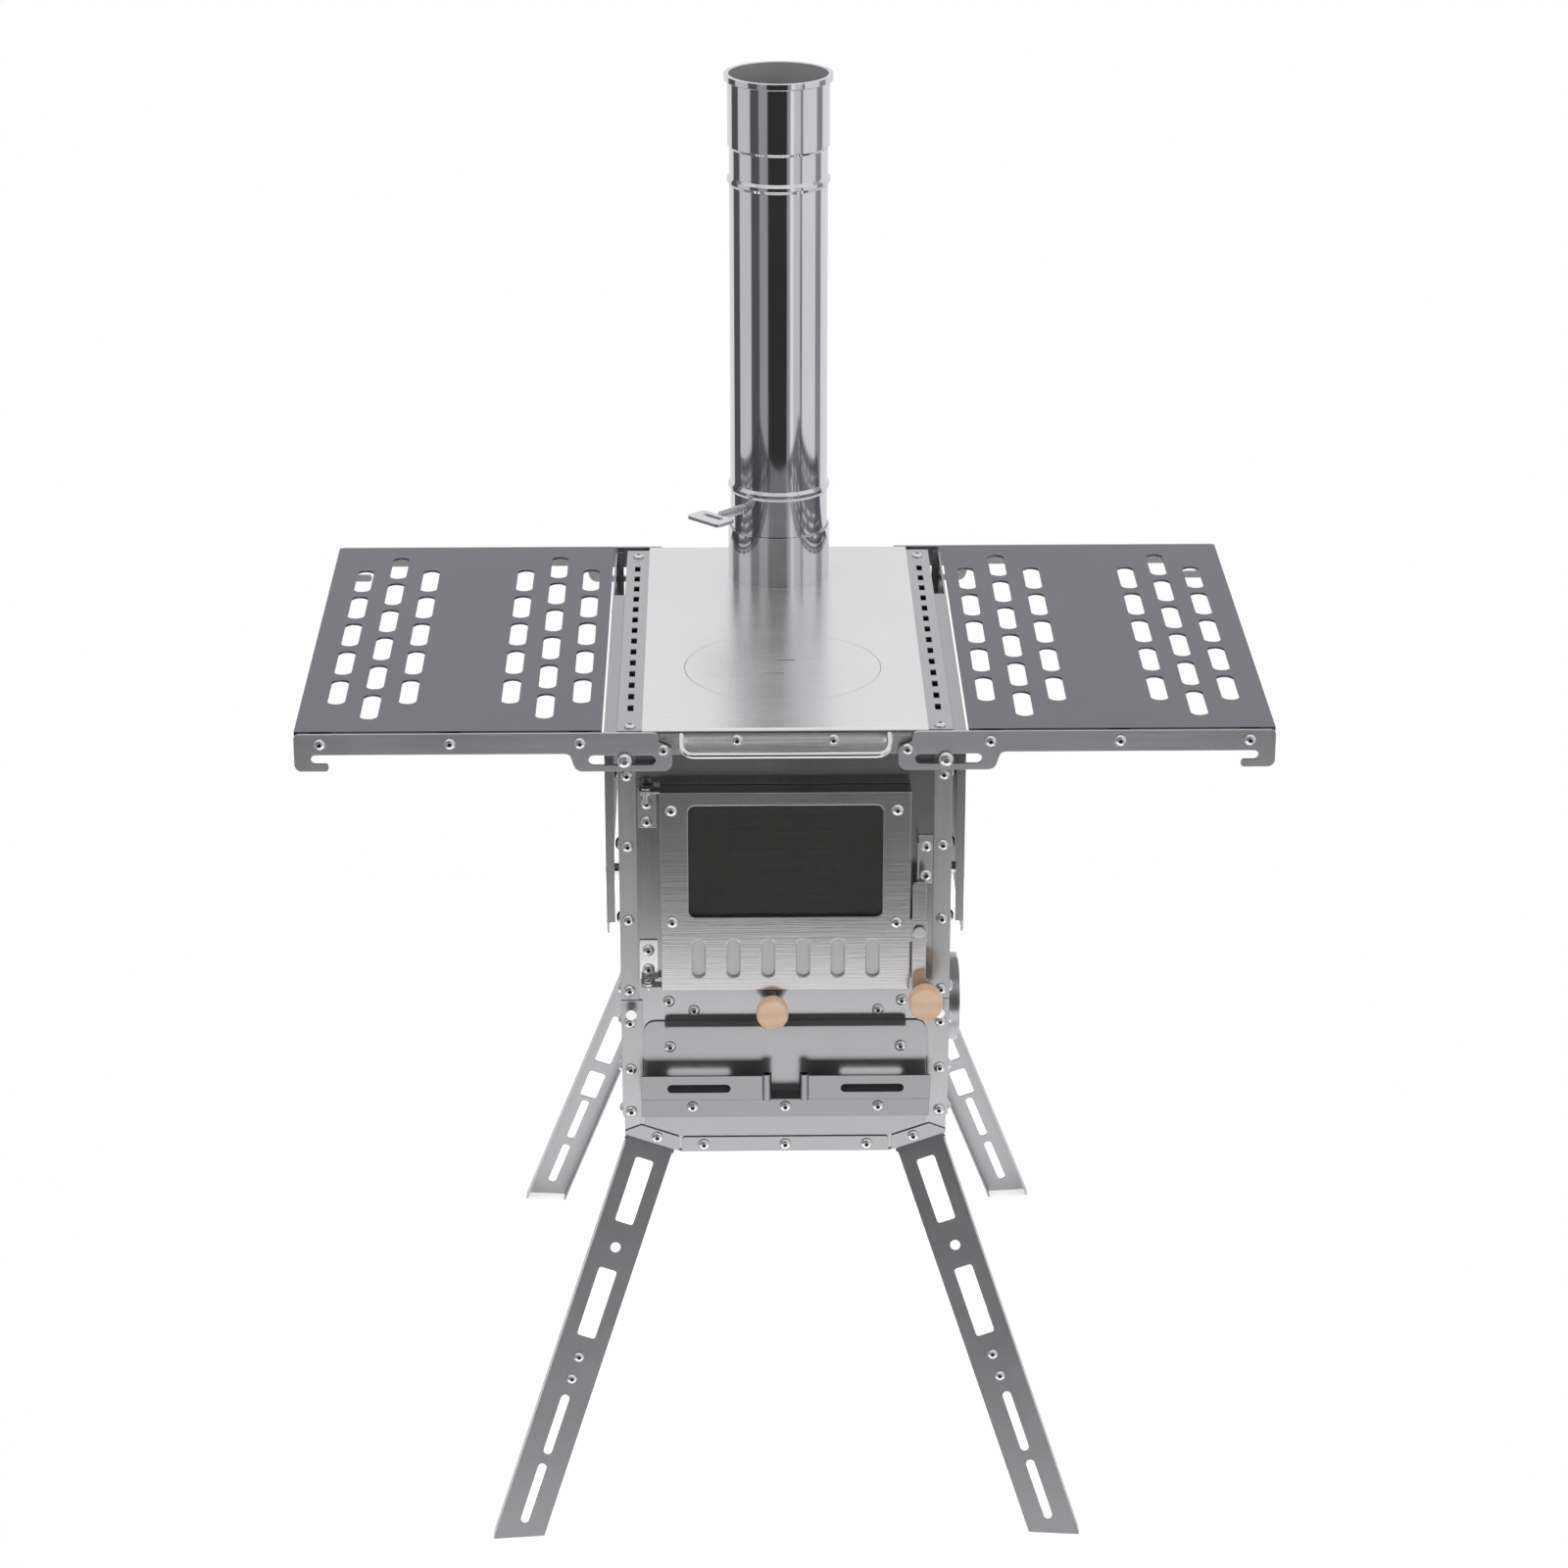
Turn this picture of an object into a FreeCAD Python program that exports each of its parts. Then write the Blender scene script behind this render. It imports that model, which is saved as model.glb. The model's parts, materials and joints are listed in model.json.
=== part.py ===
"""Folding tent stove: sheet-steel firebox on splayed legs, with side shelves and a flue."""

import math
import os
import re

import FreeCAD
import Part

V = FreeCAD.Vector

# Driving dimensions in millimetres and degrees. Z = 0 is the ground, Y = 0 the middle of the body's depth.
SIZES = {
    # casing
    "body_width": 223,
    "body_depth": 372,
    "sheet": 1.2,
    "base_height": 262,
    "pan_flat": 144,
    "facet_angle": 19.5,
    "pan_flange": 11,
    "flange_gap": 1,
    "flange_cut": 11.5,
    "split_lift": 115,
    "body_rise": 309,
    "post_upper": 12,
    "post_lower": 14.5,
    "post_lift": 27,
    "seam": 0.3,
    # cook top
    "plate_width": 190,
    "plate_thick": 2,
    "plate_lip": 18,
    "strip_lap": 6,
    "strip_slot_long": 11,
    "strip_slot_wide": 4,
    "strip_pitch": 22,
    "lid_radius": 67.2,
    "lid_setback": 116,
    "lid_ledge": 6,
    "handle_span": 138,
    "handle_reach": 15,
    "handle_wire": 4.4,
    "handle_drop": 13,
    "handle_rise": 8,
    # flue
    "flue_setback": 314,
    "flue_radius": 35,
    "flue_wall": 1,
    "flue_lift": 681,
    "collar_height": 38,
    "collar_wall": 1.4,
    "bead_swell": 1.6,
    "bead_height": 7,
    "bead_low_lift": 381,
    "bead_high_lift": 606,
    "socket_lift": 629,
    "socket_swell": 1.2,
    "rim_swell": 3.5,
    "damper_lift": 370,
    "damper_heading": 45,
    "shaft_radius": 1.6,
    "spring_wire": 1.3,
    "spring_radius": 2.8,
    "spring_turns": 8,
    "spring_pitch": 3,
    "grip_length": 17.5,
    "grip_width": 32,
    "grip_corner": 3,
    "grip_slot": 18,
    "grip_slot_wide": 4.5,
    "grip_slot_at": 6.5,
    # shields
    "shield_gap": 7.5,
    "shield_lift": 160,
    "shield_corner": 12,
    "shield_flange": 275,
    "shield_return": 5.7,
    "spacer_radius": 4,
    "spacer_inset": 25,
    "spacer_spread": 124,
    # door
    "door_width": 167,
    "door_height": 143,
    "door_lift": 129,
    "door_depth": 15.2,
    "door_gap": 0.8,
    "window_width": 130,
    "window_height": 81,
    "window_sill": 53,
    "window_corner": 5,
    "glass_thick": 4,
    "glass_lap": 4,
    "gasket_thick": 1.5,
    "rope_wide": 7,
    "rope_squeeze": 0.4,
    "standoff_radius": 2.5,
    "standoff_offset": 11,
    "vent_wide": 9,
    "vent_long": 28,
    "vent_pitch": 23.4,
    "vent_sill": 9,
    "vent_rise": 1.8,
    "mouth_width": 140,
    "mouth_height": 116,
    "mouth_sill": 13,
    "hinge_offset": 92.8,
    "hinge_reach": 9,
    "hinge_round": 4.6,
    "bracket_plate": 29,
    "bracket_wide": 12.5,
    "pin_radius": 2,
    "pin_fit": 0.1,
    # latch
    "lever_width": 9.5,
    "lever_thick": 1.5,
    "lever_rise": 79,
    "lever_pivot": 43,
    "lever_tail": 11,
    "lever_offset": 89.7,
    "knob_radius": 11.5,
    "knob_length": 22,
    "knob_shift": 4.3,
    "knob_drop": 3.4,
    "keeper_lift": 200,
    "keeper_height": 35,
    "keeper_reach": 14,
    "keeper_wide": 10.7,
    "keeper_shift": 1.7,
    # air control
    "air_offset": -9,
    "air_lift": 115.2,
    "air_rod_radius": 3,
    "air_knob_radius": 10.7,
    "air_knob_length": 20,
    "air_reach": 12,
    "shutter_width": 120,
    "shutter_long": 268,
    "shutter_thick": 1.5,
    "grate_thick": 4,
    "grate_width": 112,
    "grate_long": 262,
    "grate_pitch": 40,
    "grate_slot": 14,
    # ash drawer
    "tray_width": 172,
    "tray_lift": 22,
    "tray_height": 61,
    "tray_long": 326,
    "tray_wall": 1,
    "drawer_rise": 99,
    "drawer_lift": 12.6,
    "drawer_lip": 164,
    "drawer_lip_reach": 9,
    "drawer_corner": 8,
    "pull_width": 197,
    "pull_reach": 13.5,
    "pull_lift": 45.2,
    "pull_height": 18.7,
    "pull_leg": 18,
    "pull_slot": 43,
    "pull_slot_high": 6,
    "pull_slot_offset": 59,
    "pull_gap": 19,
    "curl_radius": 3.4,
    # side port
    "port_radius": 25,
    "port_lift": 63,
    "port_setback": 116,
    "port_reach": 14,
    "cap_radius": 31,
    # shelves
    "shelf_clear": 1.3,
    "shelf_reach": 325,
    "shelf_lift": 312,
    "shelf_sheet": 1.5,
    "shelf_flange": 12,
    "deck_gap": 1.3,
    "deck_ear_wide": 14,
    "deck_ear_drop": 10,
    "deck_ear_lead": 14.5,
    "deck_ear_inset": 17,
    "shelf_slot_long": 47,
    "shelf_slot_wide": 12,
    "shelf_slot_pitch": 57,
    "column_pitch": 24,
    "column_near": 39,
    "column_far": 47.5,
    "rail_thick": 2.5,
    "rail_gap": 3.9,
    "rail_height": 14.4,
    "rail_rise": -0.8,
    "rail_inner": 75,
    "pivot_offset": 106.5,
    "pivot_lift": 292,
    "pivot_slot": 44.5,
    "pivot_slot_wide": 7.2,
    "pivot_slot_back": 24,
    "lobe_margin": 4.2,
    "bush_fit": 0.1,
    "stud_radius": 2,
    "stud_head": 3.75,
    "hook_drop": 11.6,
    "hook_gap": 6.6,
    "hook_long": 22.5,
    "hook_back": 11,
    "hook_stud_lift": 107,
    # legs
    "leg_width": 33,
    "leg_flange": 13,
    "leg_sheet": 1.2,
    "leg_splay": 16.6,
    "leg_inset": 14,
    "rear_leg_inset": 15.11,
    "leg_nest": 0.3,
    "front_pivot_drop": 9,
    "front_web": 5.5,
    "rear_pivot_drop": 6.5,
    "rear_web": 6,
    "rear_flange": 11.5,
    "ear_radius": 3.8,
    "leg_window_wide": 13,
    "window_first": 33.5,
    "window_first_long": 47,
    "window_second": 116,
    "window_second_long": 50,
    "lock_hole": 75,
    "lock_hole_radius": 3.5,
    "rear_window": 166,
    "rear_window_long": 28,
    "leg_slot_wide": 6,
    "leg_slot_long": 44,
    "slot_first": 206,
    "slot_second": 257,
}

# Heights over the ground, each the body's base plus a lift from the sheet
LEVELS = {
    "split_height": "split_lift",
    "panel_top": "body_rise",
    "post_foot": "post_lift",
    "flue_top": "flue_lift",
    "bead_low": "bead_low_lift",
    "bead_high": "bead_high_lift",
    "socket_height": "socket_lift",
    "damper_height": "damper_lift",
    "shield_foot": "shield_lift",
    "door_foot": "door_lift",
    "keeper_foot": "keeper_lift",
    "air_height": "air_lift",
    "tray_foot": "tray_lift",
    "drawer_top": "drawer_rise",
    "drawer_foot": "drawer_lift",
    "pull_foot": "pull_lift",
    "port_height": "port_lift",
    "shelf_height": "shelf_lift",
    "pivot_height": "pivot_lift",
    "hook_stud_height": "hook_stud_lift",
}

doc = FreeCAD.newDocument("tent_stove")
dims = doc.addObject("Spreadsheet::Sheet", "dims")
for row, (alias, number) in enumerate(SIZES.items(), 1):
    dims.set(f"A{row}", alias)
    dims.set(f"B{row}", str(number))
    dims.setAlias(f"B{row}", alias)
doc.recompute()


class Sizes:
    """The sheet's numbers, read by alias."""

    def __getattr__(self, alias):
        if alias in LEVELS:
            return float(dims.get("base_height")) + float(dims.get(LEVELS[alias]))
        return float(dims.get(alias))


d = Sizes()
pieces = {}


def bind(obj, prop, text):
    """Binds a property to an expression written in the sheet's aliases and the levels."""

    def cell(found):
        word = found[0]
        if word in LEVELS:
            return f"(dims.base_height + dims.{LEVELS[word]})"
        return f"dims.{word}" if word in SIZES else word

    obj.setExpression(prop, re.sub(r"[a-z][a-z_]*", cell, text))


def piece(label, obj):
    obj.Label = label
    pieces[label] = obj
    return obj


def box(x, y, z):
    """Block between a low and a high expression on each axis."""
    obj = doc.addObject("Part::Box", "block")
    for axis, prop, (low, high) in (("x", "Length", x), ("y", "Width", y), ("z", "Height", z)):
        bind(obj, f"Placement.Base.{axis}", low)
        bind(obj, prop, f"({high}) - ({low})")
    return obj


TURNS = {"x": (V(0, 1, 0), 90), "y": (V(1, 0, 0), -90), "z": (V(0, 0, 1), 0)}


def rod(axis, x, y, z, radius, length):
    """Cylinder that starts at a point and runs along +axis."""
    obj = doc.addObject("Part::Cylinder", "rod")
    obj.Placement = FreeCAD.Placement(V(), FreeCAD.Rotation(*TURNS[axis]))
    for name, text in (("x", x), ("y", y), ("z", z)):
        bind(obj, f"Placement.Base.{name}", text)
    bind(obj, "Radius", radius)
    bind(obj, "Height", length)
    return obj


def solid(shape, placement=None):
    """Free-form piece whose shape is worked out from the sheet."""
    obj = doc.addObject("Part::Feature", "form")
    obj.Shape = shape
    if placement:
        obj.Placement = placement.multiply(shape.Placement)
    return obj


def group(*objs):
    obj = doc.addObject("Part::Compound", "set")
    obj.Links = list(objs)
    return obj


def cut(base, *tools):
    obj = doc.addObject("Part::Cut", "cut")
    obj.Base = base
    obj.Tool = tools[0] if len(tools) == 1 else group(*tools)
    return obj


def fuse(*objs):
    obj = doc.addObject("Part::MultiFuse", "fuse")
    obj.Shapes = list(objs)
    obj.Refine = True
    return obj


def mirror(obj, normal):
    image = doc.addObject("Part::Mirroring", "image")
    image.Source = obj
    image.Normal = normal
    return image


ACROSS = V(1, 0, 0)
ALONG = V(0, 1, 0)


def pair(obj, normal):
    return group(obj, mirror(obj, normal))


def four(obj):
    """A piece and its images left and right, front and back."""
    return pair(pair(obj, ACROSS), ALONG)


PLANES = {
    "xz": lambda u, v, at: V(u, at, v),
    "yz": lambda u, v, at: V(at, u, v),
    "xy": lambda u, v, at: V(u, v, at),
}


def outline(points, plane, at):
    """Face with straight runs and tangent arcs; each point is u, v and its corner radius."""
    corners = [(V(u, v, 0), radius) for u, v, radius in points]
    bends = []
    for i, (point, radius) in enumerate(corners):
        back = (corners[i - 1][0] - point).normalize()
        ahead = (corners[(i + 1) % len(corners)][0] - point).normalize()
        half = back.getAngle(ahead) / 2
        reach = radius / math.tan(half)
        middle = (back + ahead).normalize() * (radius / math.sin(half) - radius) if radius else V()
        bends.append((point + back * reach, point + middle, point + ahead * reach, radius))
    lay = lambda p: PLANES[plane](p.x, p.y, at)
    edges = []
    for i, (start, middle, end, radius) in enumerate(bends):
        if radius:
            edges.append(Part.Arc(lay(start), lay(middle), lay(end)).toShape())
        after = bends[(i + 1) % len(bends)][0]
        if (after - end).Length > 1e-6:
            edges.append(Part.makeLine(lay(end), lay(after)))
    return Part.Face(Part.Wire(edges))


def plate(points, plane, at, thick):
    """Flat sheet with that outline, thickened along the plane's normal."""
    normal = {"xz": V(0, 1, 0), "yz": V(1, 0, 0), "xy": V(0, 0, 1)}[plane]
    obj = doc.addObject("Part::Extrusion", "plate")
    obj.Base = solid(outline(points, plane, at))
    obj.DirMode = "Custom"
    obj.Dir = normal
    obj.Solid = True
    bind(obj, "LengthFwd", thick)
    return obj


def oblong(u, v, wide, high):
    """Corner points of an obround or a rounded slot, centred on u, v."""
    radius = min(wide, high) / 2 - 0.01
    return rectangle(u - wide / 2, u + wide / 2, v - high / 2, v + high / 2, radius)


def rectangle(left, right, low, high, radius=0):
    return [(left, low, radius), (right, low, radius), (right, high, radius), (left, high, radius)]


def holes(outlines, plane, start, end):
    """Cutters through a sheet, from one place on its normal to another."""
    normal = {"xz": V(0, 1, 0), "yz": V(1, 0, 0), "xy": V(0, 0, 1)}[plane]
    through = normal * (end - start)
    return solid(Part.makeCompound([outline(o, plane, start).extrude(through) for o in outlines]))


def wire(points, bend):
    """Path of straight runs joined by tangent arcs of one radius."""
    edges = []
    last = points[0]
    for before, point, after in zip(points, points[1:], points[2:]):
        back = (before - point).normalize()
        ahead = (after - point).normalize()
        half = back.getAngle(ahead) / 2
        reach = bend / math.tan(half)
        middle = point + (back + ahead).normalize() * (bend / math.sin(half) - bend)
        edges.append(Part.makeLine(last, point + back * reach))
        edges.append(Part.Arc(point + back * reach, middle, point + ahead * reach).toShape())
        last = point + ahead * reach
    edges.append(Part.makeLine(last, points[-1]))
    return Part.Wire(edges)


def tube(path, radius):
    start = path.OrderedEdges[0]
    circle = Part.makeCircle(radius, path.OrderedVertexes[0].Point, start.tangentAt(start.FirstParameter))
    return path.makePipeShell([Part.Wire([circle])], True, False)


# Shared places as expressions of the sheet, and as numbers for the outlines
HALF = "body_width / 2"
SIDE = "(body_width / 2 - sheet)"
INNER = "(body_width / 2 - 2 * sheet)"
FRONT = "(0 - body_depth / 2)"
FACE = "(0 - body_depth / 2 - sheet)"
REAR = "(body_depth / 2)"
PLATE_LOW = "(panel_top + sheet)"
PLATE_TOP = "(panel_top + sheet + plate_thick)"
FLUE_Y = "(flue_setback - body_depth / 2)"
LID_Y = "(lid_setback - body_depth / 2)"

half = d.body_width / 2
side = half - d.sheet
front = -d.body_depth / 2
face = front - d.sheet
flat = d.pan_flat / 2
slope = math.tan(math.radians(d.facet_angle))
plate_top = d.panel_top + d.sheet + d.plate_thick
flue_y = d.flue_setback - d.body_depth / 2


def pan_height(x):
    """Height of the pan's underside at a distance from the centre plane."""
    return d.base_height + max(0, abs(x) - flat) * slope


def pan_band(low, high):
    """Outline of the faceted bottom between two lifts above its underside."""
    stations = (-side, -flat, flat, side)
    under = [(x, pan_height(x) + low, 0) for x in stations]
    over = [(x, pan_height(x) + high, 0) for x in reversed(stations)]
    return under + over


def casing():
    skin = plate(pan_band(0, d.sheet), "xz", face, "body_depth + 2 * sheet")
    tall = d.pan_flange
    near = flat - d.flange_gap
    far = flat + d.flange_gap
    cut_at = side - d.flange_cut
    middle_tab = [(-near, d.base_height, 0), (near, d.base_height, 0)]
    middle_tab += [(near, d.base_height + tall, 2), (-near, d.base_height + tall, 2)]
    facet_tab = [(far, pan_height(far), 0), (side, pan_height(side), 0)]
    facet_tab += [(side, pan_height(side) + 2 * d.sheet, 0)]
    facet_tab += [(cut_at, pan_height(cut_at) + tall, 1), (far, pan_height(far) + tall, 1)]
    right_tab = plate(facet_tab, "xz", face, "sheet")
    tabs = fuse(plate(middle_tab, "xz", face, "sheet"), right_tab, mirror(right_tab, ACROSS))
    piece("bottom_pan", fuse(skin, tabs, mirror(tabs, ALONG)))

    wall = [(x, pan_height(x) + d.sheet, 0) for x in (-side, -flat, flat, side)]
    wall += [(side, d.panel_top, 0), (-side, d.panel_top, 0)]
    sill = "(door_foot + mouth_sill)"
    mouth = box(
        ("-mouth_width / 2", "mouth_width / 2"),
        (f"{FRONT} - 1", f"{FRONT} + 3"),
        (sill, f"{sill} + mouth_height"),
    )
    tray_gap = "(tray_width / 2 + 1)"
    drawer = box(
        (f"-{tray_gap}", tray_gap),
        (f"{FRONT} - 1", f"{FRONT} + 3"),
        ("tray_foot - 2", "tray_foot + tray_height + 2"),
    )
    rod_hole = rod("y", "air_offset", f"{FRONT} - 1", "air_height", "air_rod_radius + pin_fit", "4")
    piece("front_panel", cut(plate(wall, "xz", front, "sheet"), mouth, drawer, rod_hole))
    piece("back_panel", plate(wall, "xz", -front - d.sheet, "sheet"))

    edge = f"(base_height + ({SIDE} - pan_flat / 2) * tan(facet_angle) + sheet)"
    across = (INNER, SIDE)
    along = (f"{FRONT} + sheet", f"{REAR} - sheet")
    right = box(across, along, (edge, "panel_top"))
    left = box((f"-{SIDE}", f"-{INNER}"), along, (edge, "panel_top"))
    port_y = "port_setback - body_depth / 2"
    port = rod("x", f"{INNER} - 1", port_y, "port_height", "port_radius", "sheet + 2")
    piece("left_side_panel", left)
    piece("right_side_panel", cut(right, port))

    for label, width, low, high in (
        ("upper_corner_posts", "post_upper", "split_height + seam", "panel_top"),
        ("lower_corner_posts", "post_lower", "post_foot", "split_height - seam"),
    ):
        facing = box((f"{HALF} - {width}", HALF), (FACE, FRONT), (low, high))
        return_leg = box((SIDE, HALF), (FRONT, f"{FRONT} + {width}"), (low, high))
        piece(label, four(fuse(facing, return_leg)))


def shields():
    inner = half + d.shield_gap
    back = -front
    shape = [
        (front, d.shield_foot, d.shield_corner),
        (back, d.shield_foot, d.shield_corner),
        (back, d.panel_top, 0),
        (front, d.panel_top, 0),
    ]
    skin = plate(shape, "yz", inner, "sheet")
    flange = box(
        (HALF, f"{HALF} + shield_gap"),
        (FRONT, f"{FRONT} + shield_flange"),
        ("panel_top - sheet", "panel_top"),
    )
    edge = box(
        (f"{HALF} + shield_gap + sheet - shield_return", f"{HALF} + shield_gap + sheet"),
        (FRONT, f"{FRONT} + sheet"),
        ("shield_foot + shield_corner", "panel_top"),
    )
    right = fuse(skin, flange, edge, mirror(edge, ALONG))
    piece("right_shield", right)
    piece("left_shield", mirror(right, ACROSS))
    long = "sheet + shield_gap"
    upper = rod("x", SIDE, "spacer_spread", "panel_top - spacer_inset", "spacer_radius", long)
    lower = rod("x", SIDE, "spacer_spread", "shield_foot + spacer_inset", "spacer_radius", long)
    piece("shield_spacers", four(group(upper, lower)))


def cook_top():
    lap = "(plate_width / 2 - strip_lap)"
    strip = box(
        (lap, HALF),
        (f"{FRONT} + plate_thick / 2", f"{REAR} - plate_thick / 2"),
        ("panel_top", PLATE_LOW),
    )
    centre = (d.plate_width / 2 + half) / 2
    count = int((d.body_depth - 2 * d.strip_pitch) // d.strip_pitch)
    first = -(count - 1) / 2 * d.strip_pitch
    slots = [
        rectangle(
            centre - d.strip_slot_wide / 2,
            centre + d.strip_slot_wide / 2,
            first + i * d.strip_pitch - d.strip_slot_long / 2,
            first + i * d.strip_pitch + d.strip_slot_long / 2,
        )
        for i in range(count)
    ]
    right = cut(strip, holes(slots, "xy", d.panel_top - 1, d.panel_top + d.sheet + 1))
    piece("right_vent_strip", right)
    piece("left_vent_strip", mirror(right, ACROSS))

    outer = front - d.plate_thick
    bend = d.plate_thick / 2
    profile = [
        (-front, plate_top, 0),
        (outer, plate_top, bend + d.plate_thick),
        (outer, plate_top - d.plate_lip, 0),
        (front, plate_top - d.plate_lip, 0),
        (front, plate_top - d.plate_thick, bend),
        (-front, plate_top - d.plate_thick, 0),
    ]
    top = plate(profile, "yz", -d.plate_width / 2, "plate_width")
    flue_hole = rod("z", "0", FLUE_Y, "panel_top", "flue_radius - 2 * flue_wall", "20")
    lid_hole = rod("z", "0", LID_Y, "panel_top", "lid_radius + seam", "20")
    piece("cook_plate", cut(top, flue_hole, lid_hole))

    ring = rod("z", "0", LID_Y, "panel_top", "lid_radius + lid_ledge", "sheet")
    bore = rod("z", "0", LID_Y, "panel_top - 1", "lid_radius - lid_ledge", "sheet + 2")
    piece("lid_ring", cut(ring, bore))
    lid = rod("z", "0", LID_Y, PLATE_LOW, "lid_radius", "plate_thick")
    lid_y = d.lid_setback + front
    slits = [oblong(2, lid_y + 14, 14, 2), oblong(-6, lid_y - 12, 14, 2)]
    piece("cook_lid", cut(lid, holes(slits, "xy", d.panel_top, plate_top + 1)))

    collar = rod("z", "0", FLUE_Y, PLATE_TOP, "flue_radius + seam + collar_wall", "collar_height")
    inside = rod("z", "0", FLUE_Y, f"{PLATE_TOP} - 1", "flue_radius + seam", "collar_height + 2")
    piece("flue_collar", cut(collar, inside))

    reach = outer - d.handle_reach
    height = plate_top - d.handle_drop
    span = d.handle_span / 2
    root = height + d.handle_rise
    behind = outer + d.handle_wire
    start = root + (root - height) * d.handle_wire / d.handle_reach
    run = [V(-span, behind, start), V(-span, reach, height), V(span, reach, height), V(span, behind, start)]
    bar = solid(tube(wire(run, 2 * d.handle_wire), d.handle_wire / 2))
    lip = box(
        ("-handle_span", "handle_span"),
        (f"{FRONT} - plate_thick", f"{FRONT} + 4 * handle_wire"),
        (f"{PLATE_TOP} - 3 * plate_lip", f"{PLATE_TOP} + plate_lip"),
    )
    piece("plate_handle", cut(bar, lip))


def flue():
    low = plate_top + d.seam
    radius = d.flue_radius
    swell = radius + d.bead_swell
    socket = radius + d.socket_swell
    rim = radius + d.rim_swell
    step = d.bead_height / 2
    stations = [(radius, low)]
    for bead in (d.bead_low, d.bead_high):
        stations += [(radius, bead - step), (swell, bead - step / 3)]
        stations += [(swell, bead + step / 3), (radius, bead + step)]
    stations += [(radius, d.socket_height), (socket, d.socket_height + 2)]
    stations += [(socket, d.flue_top - 5), (rim, d.flue_top - 4), (rim, d.flue_top)]
    inner = [(r - d.flue_wall, z) for r, z in reversed(stations[:-2])]
    inner = [(socket - d.flue_wall, d.flue_top)] + inner
    points = [V(r, 0, z) for r, z in stations + inner]
    face_ring = Part.Face(Part.makePolygon(points + points[:1]))
    pipe = solid(face_ring.revolve(V(), V(0, 0, 1), 360))
    bind(pipe, "Placement.Base.y", FLUE_Y)
    heading = FreeCAD.Rotation(V(0, 0, 1), 90 - d.damper_heading)
    hub = V(0, flue_y, d.damper_height)

    def aimed(shape):
        """Shape drawn with the shaft along -Y through the origin, turned to the shaft's heading."""
        return solid(shape, FreeCAD.Placement(hub, heading.multiply(FreeCAD.Rotation(V(0, 0, 1), -90))))

    bore = Part.makeCylinder(d.shaft_radius + d.pin_fit, 3 * radius, V(0, 1.5 * radius, 0), V(0, -1, 0))
    piece("flue_pipe", cut(pipe, aimed(bore)))

    seat = radius + d.seam
    coil = seat + d.seam + d.spring_wire / 2
    shaft_end = coil + d.spring_turns * d.spring_pitch + d.spring_wire / 2
    stub = radius + 2 * d.flue_wall
    shaft = Part.makeCylinder(d.shaft_radius, stub + shaft_end, V(0, stub, 0), V(0, -1, 0))
    piece("damper_shaft", aimed(shaft))
    disc = radius - d.flue_wall - 2 * d.seam
    blade = Part.makeCylinder(disc, d.sheet, V(d.shaft_radius, 0, 0), V(1, 0, 0))
    piece("damper_blade", aimed(blade))
    wing = rectangle(-d.grip_width / 2, d.grip_width / 2, -d.grip_length, 0, d.grip_corner)
    grip = outline(wing, "xy", -d.sheet).extrude(V(0, 0, 2 * d.sheet))
    slot = oblong(0, -d.grip_slot_at, d.grip_slot, d.grip_slot_wide)
    grip = grip.cut(outline(slot, "xy", -2 * d.sheet).extrude(V(0, 0, 4 * d.sheet)))
    grip.translate(V(0, -shaft_end, 0))
    piece("damper_grip", aimed(grip))
    piece("damper_spring", aimed(spring(coil)))


def spring(start):
    """Compression spring about the Y axis, each quarter turn drawn as two tangent arcs."""
    quarters = int(4 * d.spring_turns)
    rate = d.spring_pitch / (2 * math.pi)

    def at(turn):
        return V(d.spring_radius * math.cos(turn), -start - rate * turn, d.spring_radius * math.sin(turn))

    def heading(turn):
        return V(-d.spring_radius * math.sin(turn), -rate, d.spring_radius * math.cos(turn)).normalize()

    edges = []
    turns = [i * math.pi / 2 for i in range(quarters + 1)]
    for low, high in zip(turns, turns[1:]):
        edges += biarc(at(low), heading(low), at(high), heading(high))
    path = Part.Wire(edges)
    points = path.discretize(12 * quarters)
    apart = [(p - q).Length for i, p in enumerate(points) for q in points[i + 36 :]]
    print("least gap of the spring to itself", round(min(apart) - d.spring_wire, 2))
    return tube(path, d.spring_wire / 2)


def biarc(start, leave, end, arrive):
    """Two circular arcs that leave and arrive along the given directions."""
    span = end - start
    share = leave + arrive
    a = 2 * (1 - leave.dot(arrive))
    b = 2 * span.dot(share)
    c = -span.dot(span)
    reach = (-b + math.sqrt(b * b - 4 * a * c)) / (2 * a)
    middle = (start + leave * reach + end - arrive * reach) * 0.5
    return [
        Part.Edge(Part.Arc(start, bulge(start, start + leave * reach, middle), middle)),
        Part.Edge(Part.Arc(middle, bulge(middle, end - arrive * reach, end), end)),
    ]


def bulge(start, corner, end):
    """Middle of the arc that is tangent to start-corner and corner-end."""
    back = (start - corner).normalize()
    ahead = (end - corner).normalize()
    half_turn = back.getAngle(ahead) / 2
    radius = (start - corner).Length * math.tan(half_turn)
    return corner + (back + ahead).normalize() * (radius / math.sin(half_turn) - radius)


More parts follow.
